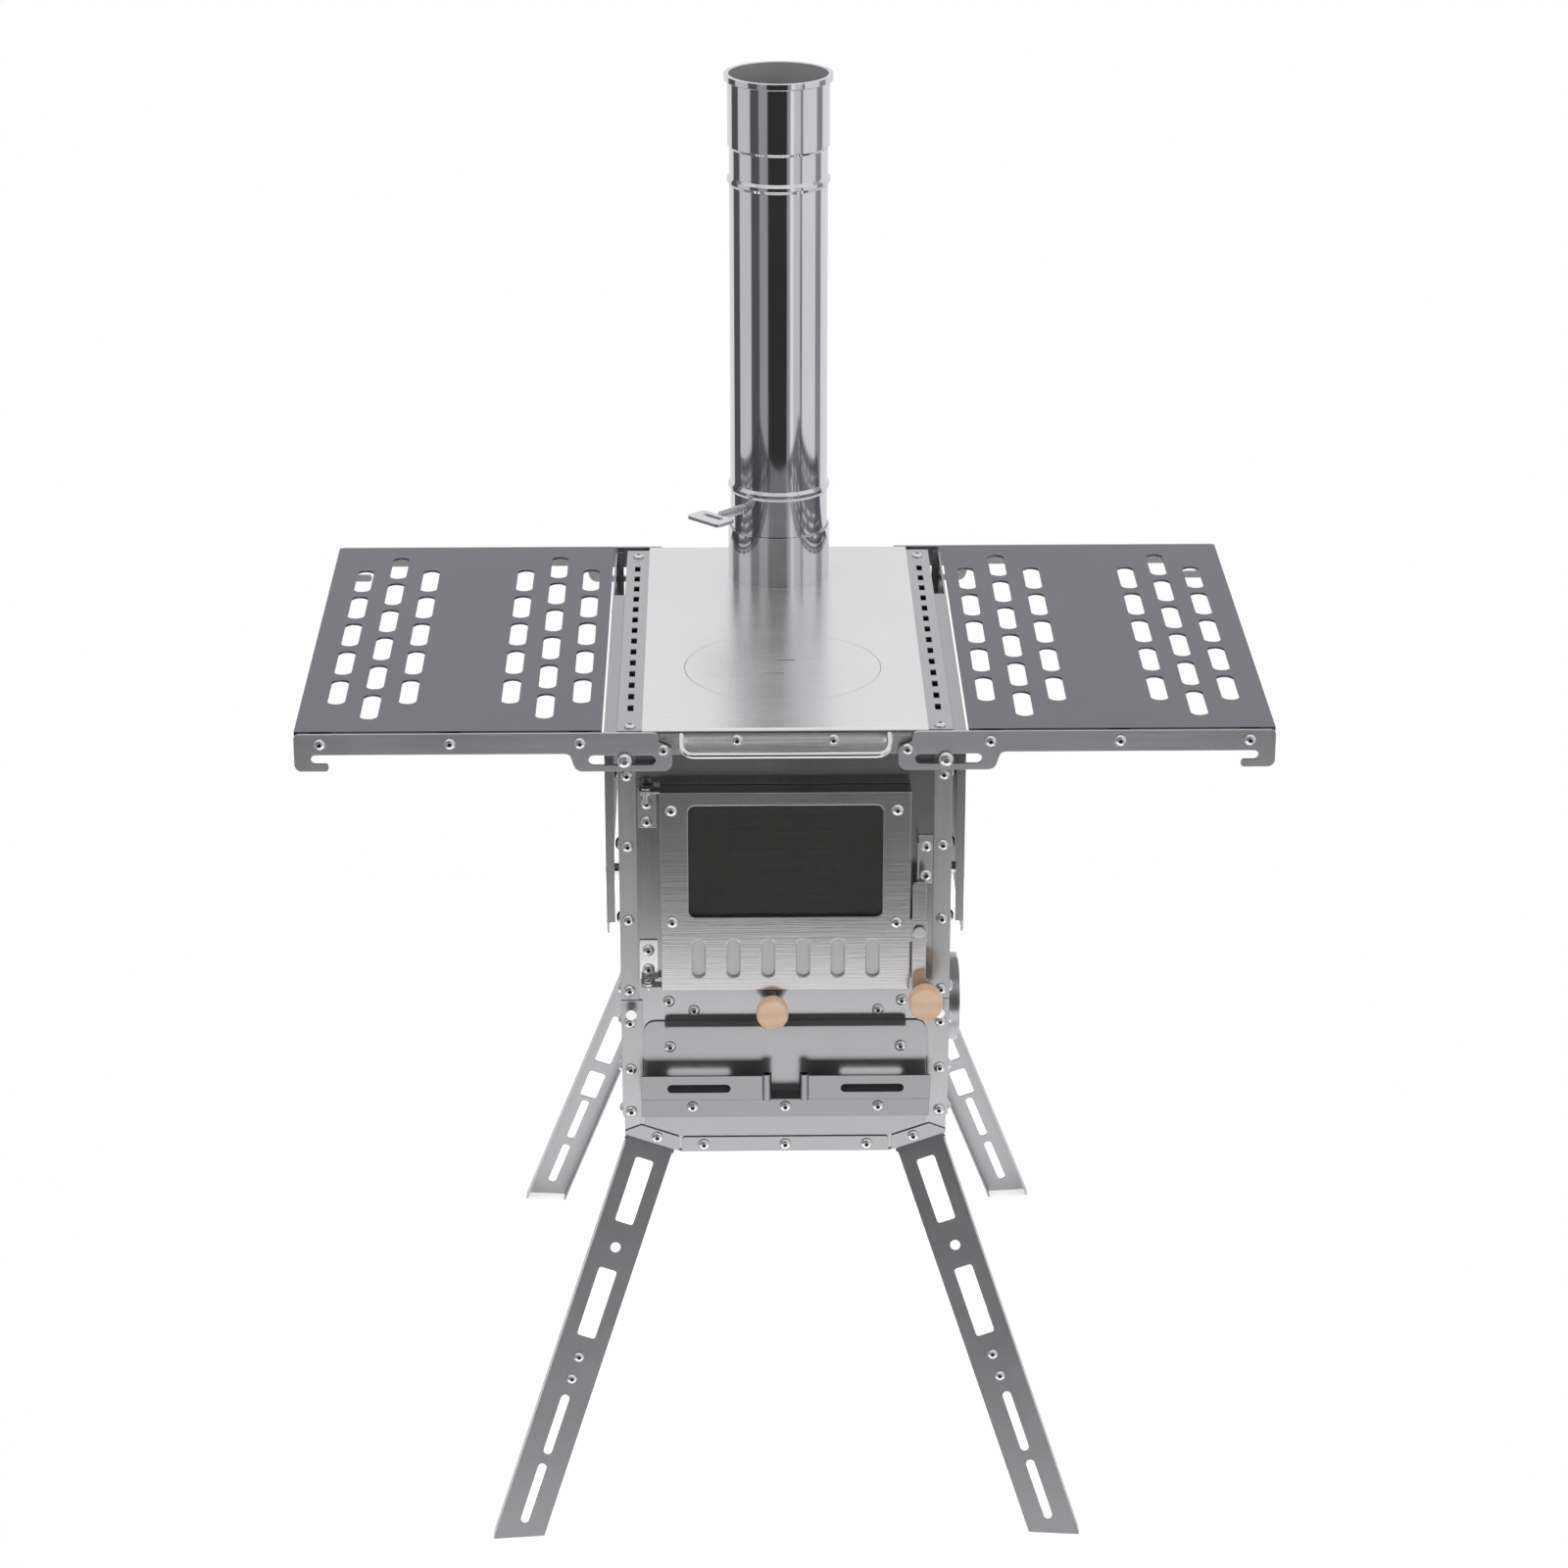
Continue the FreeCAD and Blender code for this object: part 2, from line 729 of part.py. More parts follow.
def door():
    y_front = front - d.door_gap - d.door_depth
    foot = d.door_foot
    head = foot + d.door_height
    wide = d.door_width / 2
    hinge_y = front - d.hinge_reach
    out = f"({FRONT} - door_gap - door_depth)"
    shell = box(
        ("-door_width / 2", "door_width / 2"),
        (out, f"{FRONT} - door_gap"),
        ("door_foot", "door_foot + door_height"),
    )
    hollow = box(
        ("sheet - door_width / 2", "door_width / 2 - sheet"),
        (f"{out} + sheet", f"{FRONT} + 1"),
        ("door_foot + sheet", "door_foot + door_height - sheet"),
    )
    sill = foot + d.window_sill
    pane = d.window_width / 2
    window = rectangle(-pane, pane, sill, sill + d.window_height, d.window_corner)
    vents = [(i - 2.5) * d.vent_pitch for i in range(6)]
    vent_mid = foot + d.vent_sill + d.vent_long / 2
    dents = [oblong(x, vent_mid, d.vent_wide, d.vent_long) for x in vents]
    pressed = holes(dents, "xz", y_front - 1, y_front + d.vent_rise)
    backing_wide = d.vent_wide + 2 * d.sheet
    backing_long = d.vent_long + 2 * d.sheet
    backing_shapes = [oblong(x, vent_mid, backing_wide, backing_long) for x in vents]
    backing = [plate(shape, "xz", y_front + d.sheet, "vent_rise") for shape in backing_shapes]
    ear = [
        (-wide + 1, hinge_y - d.hinge_round, 0),
        (-wide + 1, hinge_y + d.hinge_round, 0),
        (-d.hinge_offset - d.hinge_round, hinge_y + d.hinge_round, d.hinge_round - 0.01),
        (-d.hinge_offset - d.hinge_round, hinge_y - d.hinge_round, d.hinge_round - 0.01),
    ]
    upper_ear = plate(ear, "xy", head - d.sheet, "sheet")
    lower_ear = plate(ear, "xy", foot, "sheet")
    pivot_z = foot + d.lever_pivot
    lug = plate(
        rectangle(wide - 1, d.lever_offset + d.lever_width / 2 + 1, pivot_z - 8, pivot_z + 8, 1),
        "xz",
        y_front,
        "sheet",
    )
    pan = fuse(cut(shell, hollow), upper_ear, lower_ear, lug, *backing)
    axis = f"{FRONT} - hinge_reach"
    bores = rod("z", "-hinge_offset", axis, "door_foot - 1", "pin_radius + pin_fit", "door_height + 2")
    pane_hole = holes([window], "xz", y_front - 1, y_front + 2 * d.sheet)
    piece("door_panel", cut(pan, pane_hole, pressed, bores))

    lap = d.glass_lap
    behind = y_front + d.sheet
    glass = rectangle(-pane - lap, pane + lap, sill - lap, sill + d.window_height + lap, 2)
    piece("window_glass", plate(glass, "xz", behind, "glass_thick"))
    seal = plate(glass, "xz", behind + d.glass_thick, "gasket_thick")
    piece("window_seal", cut(seal, holes([window], "xz", front - 30, front)))
    liner_y = behind + d.glass_thick + d.gasket_thick
    rim = wide - d.sheet - 2
    bottom = foot + d.sheet + 2
    crest = head - d.sheet - 2
    liner = plate(rectangle(-rim, rim, bottom, crest), "xz", liner_y, "sheet")
    mouth = d.mouth_width / 2
    throat = rectangle(-mouth, mouth, vent_mid - d.vent_long / 2, vent_mid + d.vent_long / 2)
    piece("door_liner", cut(liner, holes([window, throat], "xz", front - 30, front)))
    rope_y = liner_y + d.sheet
    rope_deep = "(door_depth + door_gap - 2 * sheet - glass_thick - gasket_thick - rope_squeeze)"
    rope = plate(rectangle(-rim, rim, bottom, crest, 6), "xz", rope_y, rope_deep)
    inside = d.rope_wide
    hollow_rope = rectangle(-rim + inside, rim - inside, bottom + inside, crest - inside, 3)
    piece("door_rope_seal", cut(rope, holes([hollow_rope], "xz", front - 30, front + 5)))
    spots = [(x, z) for x in (-1, 1) for z in (sill - 1, sill + d.window_height - 2)]
    away = pane + d.standoff_offset
    deep = d.glass_thick + d.gasket_thick
    standoffs = [
        Part.makeCylinder(d.standoff_radius, deep, V(x * away, behind, z), V(0, 1, 0)) for x, z in spots
    ]
    piece("liner_standoffs", solid(Part.makeCompound(standoffs)))

    lever_y = y_front - d.seam - d.lever_thick
    left = d.lever_offset - d.lever_width / 2
    right = d.lever_offset + d.lever_width / 2
    tail = foot - d.lever_tail
    bar = [
        (left, foot + d.lever_rise, 3),
        (left, foot + 2, 4),
        (left + 5, tail, 4),
        (right + 6, tail, 4),
        (right + 6, foot + 2, 4),
        (right, foot + 9, 4),
        (right, foot + d.lever_rise, 3),
    ]
    eye = rod("y", "lever_offset", f"{out} - 10", "door_foot + lever_pivot", "pin_radius + pin_fit", "20")
    piece("latch_lever", cut(plate(bar, "xz", lever_y, "lever_thick"), eye))
    knob = turned_knob(d.knob_radius, d.knob_length)
    knob.translate(V(d.lever_offset + d.knob_shift, lever_y, foot - d.knob_drop))
    piece("latch_knob", solid(knob))
    top = f"{out} - 2 * seam - lever_thick"
    shank = rod("y", "lever_offset", top, "door_foot + lever_pivot", "pin_radius", "2 * seam + lever_thick")
    cap = rod("y", "lever_offset", f"{top} - 2", "door_foot + lever_pivot", "2 * pin_radius", "2")
    piece("latch_pivot", fuse(shank, cap))
    return hinge_y


def turned_knob(radius, length):
    """Wooden knob turned about -Y, with its back face on the origin."""
    neck = 0.62 * radius
    crown = 0.12 * length
    edge = 0.1 * length
    tip = 0.15 * radius
    path = [
        Part.makeLine(V(0, 0, 0), V(neck, 0, 0)),
        Part.Arc(V(neck, 0, 0), V(0.9 * radius, -0.22 * length, 0), V(radius, -0.55 * length, 0)).toShape(),
        Part.makeLine(V(radius, -0.55 * length, 0), V(radius, -length + edge + crown, 0)),
        Part.Arc(
            V(radius, -length + edge + crown, 0),
            V(0.94 * radius, -length + crown + 0.2 * edge, 0),
            V(0.8 * radius, -length + crown / 2, 0),
        ).toShape(),
        Part.Arc(
            V(0.8 * radius, -length + crown / 2, 0),
            V(0.5 * radius, -length + 0.15 * crown, 0),
            V(tip, -length, 0),
        ).toShape(),
        Part.makeLine(V(tip, -length, 0), V(0, -length, 0)),
        Part.makeLine(V(0, -length, 0), V(0, 0, 0)),
    ]
    half_turn = Part.Face(Part.Wire(path)).revolve(V(), V(0, 1, 0), 180)
    other = half_turn.rotated(V(), V(0, 1, 0), 180)
    return half_turn.fuse(other).removeSplitter()


def door_furniture(hinge_y):
    foot = d.door_foot
    head = foot + d.door_height
    tab = [
        (-d.hinge_offset - d.hinge_round, front - d.sheet / 2, 0),
        (-d.hinge_offset - d.hinge_round, hinge_y - d.hinge_round, d.hinge_round - 0.01),
        (-d.hinge_offset + d.hinge_round, hinge_y - d.hinge_round, d.hinge_round - 0.01),
        (-d.hinge_offset + d.hinge_round, front - d.sheet / 2, 0),
    ]
    brackets = []
    for low, high, tab_low in (
        (head - d.sheet - d.seam - d.bracket_plate, head - d.sheet - d.seam, head - 2 * d.sheet - d.seam),
        (foot + d.sheet + d.seam, foot + d.sheet + d.seam + d.bracket_plate, foot + d.sheet + d.seam),
    ):
        left = -d.hinge_offset - d.hinge_round - 1
        back = plate(rectangle(left, left + d.bracket_wide, low, high, 1), "xz", face, "sheet")
        brackets.append(fuse(back, plate(tab, "xy", tab_low, "sheet")))
    y = f"{FRONT} - hinge_reach"
    bore = rod("z", "-hinge_offset", y, "door_foot - 5", "pin_radius + pin_fit / 2", "door_height + 10")
    piece("door_hinge_brackets", cut(group(*brackets), bore))

    x = "-hinge_offset"
    shank = rod("z", x, y, "door_foot + door_height - 8 * sheet", "pin_radius", "8 * sheet + seam")
    cap = rod("z", x, y, "door_foot + door_height + seam", "1.5 * pin_radius", "sheet")
    lower_shank = rod("z", x, y, "door_foot - 2 * sheet", "pin_radius", "4 * sheet + seam + pin_fit")
    lower_cap = rod("z", x, y, "door_foot + 2 * sheet + seam + pin_fit", "1.5 * pin_radius", "sheet")
    piece("door_hinge_pins", group(fuse(shank, cap), fuse(lower_shank, lower_cap)))

    left = d.lever_offset - d.keeper_shift
    keeper_top = d.keeper_foot + d.keeper_height
    base = plate(rectangle(left, left + d.keeper_wide, d.keeper_foot, keeper_top), "xz", face, "sheet")
    wing = box(
        ("lever_offset - keeper_shift", "lever_offset - keeper_shift + sheet"),
        (f"{FACE} - keeper_reach", FRONT),
        ("keeper_foot", "keeper_foot + keeper_height"),
    )
    piece("latch_keeper", fuse(base, wing))


def fire_floor():
    """Floor, grate, sliding air shutter and its guides, baffle and drawer runners."""
    floor_low = "(air_height + shutter_thick / 2 + seam)"
    floor = box(
        (f"-{INNER}", INNER),
        (f"{FRONT} + sheet", f"{REAR} - sheet"),
        (floor_low, f"{floor_low} + sheet"),
    )
    well = box(
        ("10 - grate_width / 2", "grate_width / 2 - 10"),
        ("10 - grate_long / 2", "grate_long / 2 - 10"),
        (f"{floor_low} - 1", f"{floor_low} + 5"),
    )
    notch = box(
        ("air_offset - air_rod_radius - 1", "air_offset + air_rod_radius + 1"),
        (FRONT, "11 - grate_long / 2"),
        (f"{floor_low} - 1", f"{floor_low} + 5"),
    )
    piece("firebox_floor", cut(floor, fuse(well, notch)))

    count = int((d.grate_long - d.grate_pitch / 2) // d.grate_pitch)
    rows = [(i - (count - 1) / 2) * d.grate_pitch for i in range(count)]
    span = d.grate_width - 32
    slots = [oblong(0, y, span, d.grate_slot) for y in rows]
    grate_low = d.air_height + d.shutter_thick / 2 + d.seam + d.sheet
    bars = plate(
        rectangle(-d.grate_width / 2, d.grate_width / 2, -d.grate_long / 2, d.grate_long / 2, 4),
        "xy",
        grate_low,
        "grate_thick",
    )
    piece("fire_grate", cut(bars, holes(slots, "xy", grate_low - 1, grate_low + d.grate_thick + 1)))

    shutter_low = d.air_height - d.shutter_thick / 2
    shift = d.grate_pitch / 2
    plain = plate(
        rectangle(-d.shutter_width / 2, d.shutter_width / 2, -d.shutter_long / 2, d.shutter_long / 2, 3),
        "xy",
        shutter_low,
        "shutter_thick",
    )
    ports = [oblong(0, y + shift, span, d.grate_slot) for y in rows[:-1]]
    piece("air_shutter", cut(plain, holes(ports, "xy", shutter_low - 1, shutter_low + 3)))
    reach = "(body_depth / 2 + air_reach - shutter_long / 2)"
    piece("air_rod", rod("y", "air_offset", f"{FRONT} - air_reach", "air_height", "air_rod_radius", reach))
    knob = turned_knob(d.air_knob_radius, d.air_knob_length)
    knob.translate(V(d.air_offset, front - d.air_reach, d.air_height))
    piece("air_knob", solid(knob))

    top = d.air_height + d.shutter_thick / 2 + d.seam
    near = d.shutter_width / 2 + d.seam
    low = shutter_low - d.seam - d.sheet
    angle = [(near - 5, low, 0), (near + d.sheet, low, 0), (near + d.sheet, top, 0), (near, top, 0)]
    angle += [(near, low + d.sheet, 0), (near - 5, low + d.sheet, 0)]
    guide = plate(angle, "xz", -d.grate_long / 2, "grate_long")
    piece("shutter_guides", pair(guide, ACROSS))

    ledge = d.tray_foot - d.seam
    tray_side = d.tray_width / 2
    wall = half - 2 * d.sheet
    runner = [(tray_side - 12, ledge - d.sheet, 0), (wall, ledge - d.sheet, 0), (wall, ledge + 12, 0)]
    runner += [(wall - d.sheet, ledge + 12, 0), (wall - d.sheet, ledge, 0), (tray_side - 12, ledge, 0)]
    runners = pair(plate(runner, "xz", front + d.sheet, "body_depth - 2 * sheet"), ACROSS)

    shelf_z = d.panel_top - 40
    bracket = [(wall - 12, shelf_z, 0), (wall - 12, shelf_z - d.sheet, 0), (wall, shelf_z - d.sheet, 0)]
    bracket += [(wall, shelf_z + 10, 0), (wall - d.sheet, shelf_z + 10, 0), (wall - d.sheet, shelf_z, 0)]
    ledges = pair(plate(bracket, "xz", 0, "body_depth / 2 - sheet"), ACROSS)
    piece("inner_ledges", group(runners, ledges))
    reach_in = wall - d.sheet - d.seam
    spread = rectangle(-reach_in, reach_in, front / 3, -front - d.sheet)
    piece("smoke_baffle", plate(spread, "xy", shelf_z, "2 * sheet"))


def ash_drawer():
    back = f"({FRONT} - seam)"
    rest = face - d.seam
    outer = box(
        ("-tray_width / 2", "tray_width / 2"),
        (back, f"{back} + tray_long"),
        ("tray_foot", "tray_foot + tray_height"),
    )
    inner = box(
        ("tray_wall - tray_width / 2", "tray_width / 2 - tray_wall"),
        (f"{back} + tray_wall", f"{back} + tray_long - tray_wall"),
        ("tray_foot + tray_wall", "tray_foot + tray_height + 1"),
    )
    piece("ash_tray", cut(outer, inner))
    wide = half - d.post_lower - 2 * d.seam
    rise = (wide - flat) * slope
    shape = [
        (-wide, d.drawer_foot + rise, 0),
        (-flat, d.drawer_foot, 0),
        (flat, d.drawer_foot, 0),
        (wide, d.drawer_foot + rise, 0),
        (wide, d.drawer_top, d.drawer_corner),
        (-wide, d.drawer_top, d.drawer_corner),
    ]
    reach = rest - d.drawer_lip_reach
    wing = d.drawer_lip / 2
    ledge = [(-wing, rest + d.sheet, 0), (-wing, reach, 4), (wing, reach, 4), (wing, rest + d.sheet, 0)]
    lip = plate(ledge, "xy", d.drawer_top - d.sheet, "sheet")
    piece("drawer_front", fuse(plate(shape, "xz", rest, "sheet"), lip))

    low = d.pull_foot
    out = rest - d.pull_reach
    profile = [
        (rest, low - d.pull_leg, 0),
        (rest, low + d.sheet, 0),
        (out + d.sheet, low + d.sheet, 0),
        (out + d.sheet, low + d.pull_height, 0),
        (out, low + d.pull_height, 0),
        (out, low, 2),
        (rest - d.sheet, low, 0),
        (rest - d.sheet, low - d.pull_leg, 0),
    ]
    trough = plate(profile, "yz", -d.pull_width / 2, "pull_width")
    middle = low + d.pull_height / 2
    slots = [oblong(x * d.pull_slot_offset, middle, d.pull_slot, d.pull_slot_high) for x in (-1, 1)]
    gap = d.pull_gap / 2 + d.curl_radius
    notch = rectangle(-gap, gap, low + d.sheet, low + d.pull_height + 1)
    lip_cuts = holes(slots + [notch], "xz", out - 1, out + d.sheet + 0.5)
    at_x = "pull_gap / 2 + curl_radius"
    at_y = f"{back} - sheet - pull_reach + curl_radius / 2"
    roll = rod("z", at_x, at_y, "pull_foot + sheet / 2", "curl_radius", "pull_height + sheet / 2")
    core = rod("z", at_x, at_y, "pull_foot + 1.5 * sheet", "curl_radius - sheet", "pull_height + sheet")
    curl = cut(roll, core)
    piece("drawer_pull", fuse(cut(trough, lip_cuts), curl, mirror(curl, ACROSS)))


def side_port():
    y = "port_setback - body_depth / 2"
    ring = rod("x", SIDE, y, "port_height", "port_radius + sheet", "port_reach - 2 * sheet")
    bore = rod("x", f"{SIDE} - 1", y, "port_height", "port_radius", "port_reach + 2")
    piece("port_collar", cut(ring, bore))
    rim = rod("x", f"{SIDE} + seam", y, "port_height", "cap_radius", "port_reach - seam - sheet")
    crown = rod("x", f"{SIDE} + port_reach - 2 * sheet", y, "port_height", "cap_radius - 4", "2 * sheet")
    hollow = rod("x", SIDE, y, "port_height", "port_radius + sheet + seam", "port_reach - 2 * sheet + seam")
    piece("port_cap", cut(fuse(rim, crown), hollow))


def shelves():
    reach = d.shelf_reach
    inner_edge = half + d.shield_gap + d.sheet + d.shelf_clear
    rail_y = front - d.rail_gap
    under = d.shelf_height - d.shelf_sheet
    between = (f"{FRONT} - rail_gap + deck_gap", f"{REAR} + rail_gap - deck_gap")
    deck = box(
        (f"{HALF} + shield_gap + sheet + shelf_clear", "shelf_reach"),
        between,
        ("shelf_height - shelf_sheet", "shelf_height"),
    )
    rim = box(
        ("shelf_reach - shelf_sheet", "shelf_reach"),
        between,
        ("shelf_height - shelf_flange", "shelf_height"),
    )
    ears = []
    near = f"({HALF} + shield_gap + sheet + shelf_clear + deck_ear_lead)"
    far = "(shelf_reach - deck_ear_inset)"
    for place in (near, f"({near} + {far}) / 2", far):
        ear = box(
            (f"{place} - deck_ear_wide / 2", f"{place} + deck_ear_wide / 2"),
            (f"{FRONT} - rail_gap", f"{FRONT} - sheet"),
            ("shelf_height - shelf_sheet - deck_ear_drop", "shelf_height - shelf_sheet"),
        )
        ears += [ear, mirror(ear, ALONG)]
    slots = []
    for centre in (inner_edge + d.column_near, reach - d.column_far):
        for step, lead in ((-1, 50), (0, 20), (1, 50)):
            room = d.body_depth - 2 * lead + d.shelf_slot_pitch - d.shelf_slot_long + 5
            count = int(room // d.shelf_slot_pitch)
            for i in range(count):
                y = (i - (count - 1) / 2) * d.shelf_slot_pitch
                x = centre + step * d.column_pitch
                slots.append(oblong(x, y, d.shelf_slot_wide, d.shelf_slot_long))
    right = cut(fuse(deck, rim, *ears), holes(slots, "xy", under - 1, d.shelf_height + 1))
    piece("right_shelf_panel", right)
    piece("left_shelf_panel", mirror(right, ACROSS))

    top = d.shelf_height + d.rail_rise
    low = top - d.rail_height
    belly = d.pivot_height - d.pivot_slot_wide / 2 - d.lobe_margin
    slot_out = d.pivot_offset + d.pivot_slot_back
    slot_in = slot_out - d.pivot_slot
    lobe_out = slot_out + 2 * d.lobe_margin
    hook_low = low - d.hook_drop
    bar = [
        (reach, top, 3),
        (d.rail_inner + 9, top, 4),
        (d.rail_inner + 9, top - 7, 2),
        (d.rail_inner, top - 11, 4),
        (d.rail_inner, belly, 6),
        (lobe_out, belly, 6),
        (lobe_out + 4, low, 4),
        (reach - d.hook_back, low, d.hook_gap / 2 - 0.01),
        (reach - d.hook_back, low - d.hook_gap, d.hook_gap / 2 - 0.01),
        (reach - d.hook_long, low - d.hook_gap, 2),
        (reach - d.hook_long, hook_low, 2),
        (reach, hook_low, 5),
    ]
    way = oblong((slot_out + slot_in) / 2, d.pivot_height, d.pivot_slot, d.pivot_slot_wide)
    strap = plate(bar, "xz", rail_y - d.rail_thick, "rail_thick")
    rail = cut(strap, holes([way], "xz", rail_y - 9, rail_y + 1))
    rails = pair(rail, ALONG)
    piece("right_shelf_rails", rails)
    piece("left_shelf_rails", mirror(rails, ACROSS))

    y = f"({FRONT} - rail_gap - rail_thick - seam)"
    long = f"({FACE} - {y} - seam)"
    core = rod("y", "pivot_offset", y, "pivot_height", "pivot_slot_wide / 2 - bush_fit", long)
    bore = rod("y", "pivot_offset", f"{y} - 1", "pivot_height", "stud_radius + pin_fit", f"{long} + 2")
    bushes = pair(cut(core, bore), ALONG)
    piece("right_shelf_bushes", bushes)
    piece("left_shelf_bushes", mirror(bushes, ACROSS))

    shank = rod("y", "pivot_offset", f"{y} - seam", "pivot_height", "stud_radius", f"{FACE} - {y} + seam")
    cap = rod("y", "pivot_offset", f"{y} - seam - stud_radius", "pivot_height", "stud_head", "stud_radius")
    pivots = four(fuse(shank, cap))
    peg = rod("y", "pivot_offset - 2", f"{FACE} - 7", "hook_stud_height", "stud_radius", "7")
    button = rod("y", "pivot_offset - 2", f"{FACE} - 7", "hook_stud_height", "stud_head", "1.5")
    piece("shelf_studs", group(pivots, four(fuse(peg, button))))


def channel(width, flange, web, length, windows):
    """Leg channel about its pivot: web to the front, flanges rounded at the top, length down -Z."""
    back = flange - web
    profile = [(-web, -length, 0), (back, -length, 0), (back, back, 0.8 * back), (-web, back, 0.73 * web)]
    outer = outline(profile, "yz", -width / 2).extrude(V(width, 0, 0))
    inside = width / 2 - d.leg_sheet
    corner = V(-inside, -web + d.leg_sheet, -length - flange)
    hollow = Part.makeBox(2 * inside, 2 * flange, length + 3 * flange, corner)
    shape = outer.cut(hollow)
    cutters = [outline(w, "xz", -web - 1).extrude(V(0, d.leg_sheet + 2, 0)) for w in windows]
    pin = Part.makeCylinder(d.pin_radius + d.pin_fit, 2 * width, V(-width, 0, 0), V(1, 0, 0))
    return shape.cut(Part.makeCompound(cutters)).cut(pin)


def legs():
    middle = flat + (side - flat) / 2
    tilt = math.radians(d.facet_angle)
    normal = V(math.sin(tilt), 0, -math.cos(tilt))
    seat = V(middle, 0, pan_height(middle))
    lean = FreeCAD.Rotation(V(0, 1, 0), -d.facet_angle)
    long = d.base_height + 60
    slim = d.leg_width - 2 * d.leg_sheet - 2 * d.leg_nest
    wide = d.leg_window_wide
    slot = d.leg_slot_wide

    def window(centre, long):
        return rectangle(-wide / 2, wide / 2, -centre - long / 2, -centre + long / 2, 2)

    common = [window(d.window_first, d.window_first_long), window(d.window_second, d.window_second_long)]
    common += [oblong(0, -centre, slot, d.leg_slot_long) for centre in (d.slot_first, d.slot_second)]
    fore = common + [oblong(0, -d.lock_hole, 2 * d.lock_hole_radius, 2 * d.lock_hole_radius + 0.1)]
    aft = common + [window(d.rear_window, d.rear_window_long)]
    ground = box(
        ("-body_width * 3", "body_width * 3"),
        ("-body_depth * 2", "body_depth * 2"),
        ("-base_height", "0"),
    )
    brackets = []
    pins = []
    for end, sign, inset, width, flange, web, drop, windows in (
        ("front", -1, d.leg_inset, d.leg_width, d.leg_flange, d.front_web, d.front_pivot_drop, fore),
        ("rear", 1, d.rear_leg_inset, slim, d.rear_flange, d.rear_web, d.rear_pivot_drop, aft),
    ):
        pivot = seat + normal * drop + V(0, sign * (d.body_depth / 2 - inset), 0)
        facing = FreeCAD.Rotation(V(0, 0, 1), 0 if sign < 0 else 180)
        splay = FreeCAD.Rotation(V(1, 0, 0), -d.leg_splay)
        spot = FreeCAD.Placement(pivot, lean.multiply(facing).multiply(splay))
        leg = cut(solid(channel(width, flange, web, long, windows), spot), ground)
        piece(f"{end}_right_leg", leg)
        piece(f"{end}_left_leg", mirror(leg, ACROSS))

        upright = FreeCAD.Placement(pivot, lean.multiply(facing))
        room = width / 2 - d.leg_sheet - d.leg_nest
        thick = 2 * d.leg_sheet
        base = Part.makeBox(2 * room, 2 * d.ear_radius + 1, d.leg_sheet, V(-room, -1, drop - d.leg_sheet))
        ear = outline(
            [
                (-1, drop - d.leg_sheet / 2, 0),
                (2 * d.ear_radius, drop - d.leg_sheet / 2, 0),
                (d.ear_radius, -d.ear_radius, 0.7 * d.ear_radius),
                (-d.ear_radius, -d.ear_radius, 0.7 * d.ear_radius),
            ],
            "yz",
            room - thick,
        ).extrude(V(thick, 0, 0))
        far_ear = ear.translated(V(thick - 2 * room, 0, 0))
        bore = Part.makeCylinder(d.pin_radius + d.pin_fit / 2, 4 * room, V(-2 * room, 0, 0), V(1, 0, 0))
        bracket = solid(base.multiFuse([ear, far_ear]).removeSplitter().cut(bore), upright)
        brackets += [bracket, mirror(bracket, ACROSS)]
        end_x = width / 2 + d.seam
        shank = Part.makeCylinder(d.pin_radius, 2 * end_x, V(-end_x, 0, 0), V(1, 0, 0))
        head = Part.makeCylinder(1.6 * d.pin_radius, d.leg_sheet, V(end_x, 0, 0), V(1, 0, 0))
        tail = head.translated(V(-width - 2 * d.seam - d.leg_sheet, 0, 0))
        pin = solid(shank.multiFuse([head, tail]), upright)
        pins += [pin, mirror(pin, ACROSS)]
    piece("leg_brackets", group(*brackets))
    piece("leg_pins", group(*pins))


casing()
shields()
cook_top()
flue()
door_furniture(door())
fire_floor()
ash_drawer()
side_port()
shelves()
legs()
doc.recompute()

failed = [o.Name for o in doc.Objects if {"Invalid", "Error"} & set(o.State)]
for label, obj in pieces.items():
    shape = obj.Shape
    if shape.isNull() or not shape.isValid() or not shape.Solids:
        failed.append(label)
if failed:
    raise RuntimeError(f"these did not build: {failed}")

os.makedirs("parts", exist_ok=True)
for label, obj in pieces.items():
    obj.Shape.exportStep(os.path.join("parts", f"{label}.step"))
print(len(pieces), "pieces,", sum(len(o.Shape.Solids) for o in pieces.values()), "solids")
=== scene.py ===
import json
import math

import bmesh
import bpy
from mathutils import Matrix, Vector


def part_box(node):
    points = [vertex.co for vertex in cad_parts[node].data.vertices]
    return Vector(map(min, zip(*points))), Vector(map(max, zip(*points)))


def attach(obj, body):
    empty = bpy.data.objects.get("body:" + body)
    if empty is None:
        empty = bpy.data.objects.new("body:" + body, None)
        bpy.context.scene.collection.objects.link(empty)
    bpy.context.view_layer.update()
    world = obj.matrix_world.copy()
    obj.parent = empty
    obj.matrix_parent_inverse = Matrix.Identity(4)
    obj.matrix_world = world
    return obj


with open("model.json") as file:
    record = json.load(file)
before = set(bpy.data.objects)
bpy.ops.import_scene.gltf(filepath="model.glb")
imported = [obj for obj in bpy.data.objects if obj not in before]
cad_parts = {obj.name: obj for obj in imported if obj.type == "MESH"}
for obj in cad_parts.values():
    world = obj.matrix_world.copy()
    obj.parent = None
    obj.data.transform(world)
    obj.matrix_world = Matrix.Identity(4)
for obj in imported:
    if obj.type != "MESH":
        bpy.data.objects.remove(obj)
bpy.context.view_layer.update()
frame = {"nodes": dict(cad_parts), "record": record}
jointOf = {joint["name"]: joint for joint in frame["record"]["behaviour"]["joints"]}
mm = 0.001
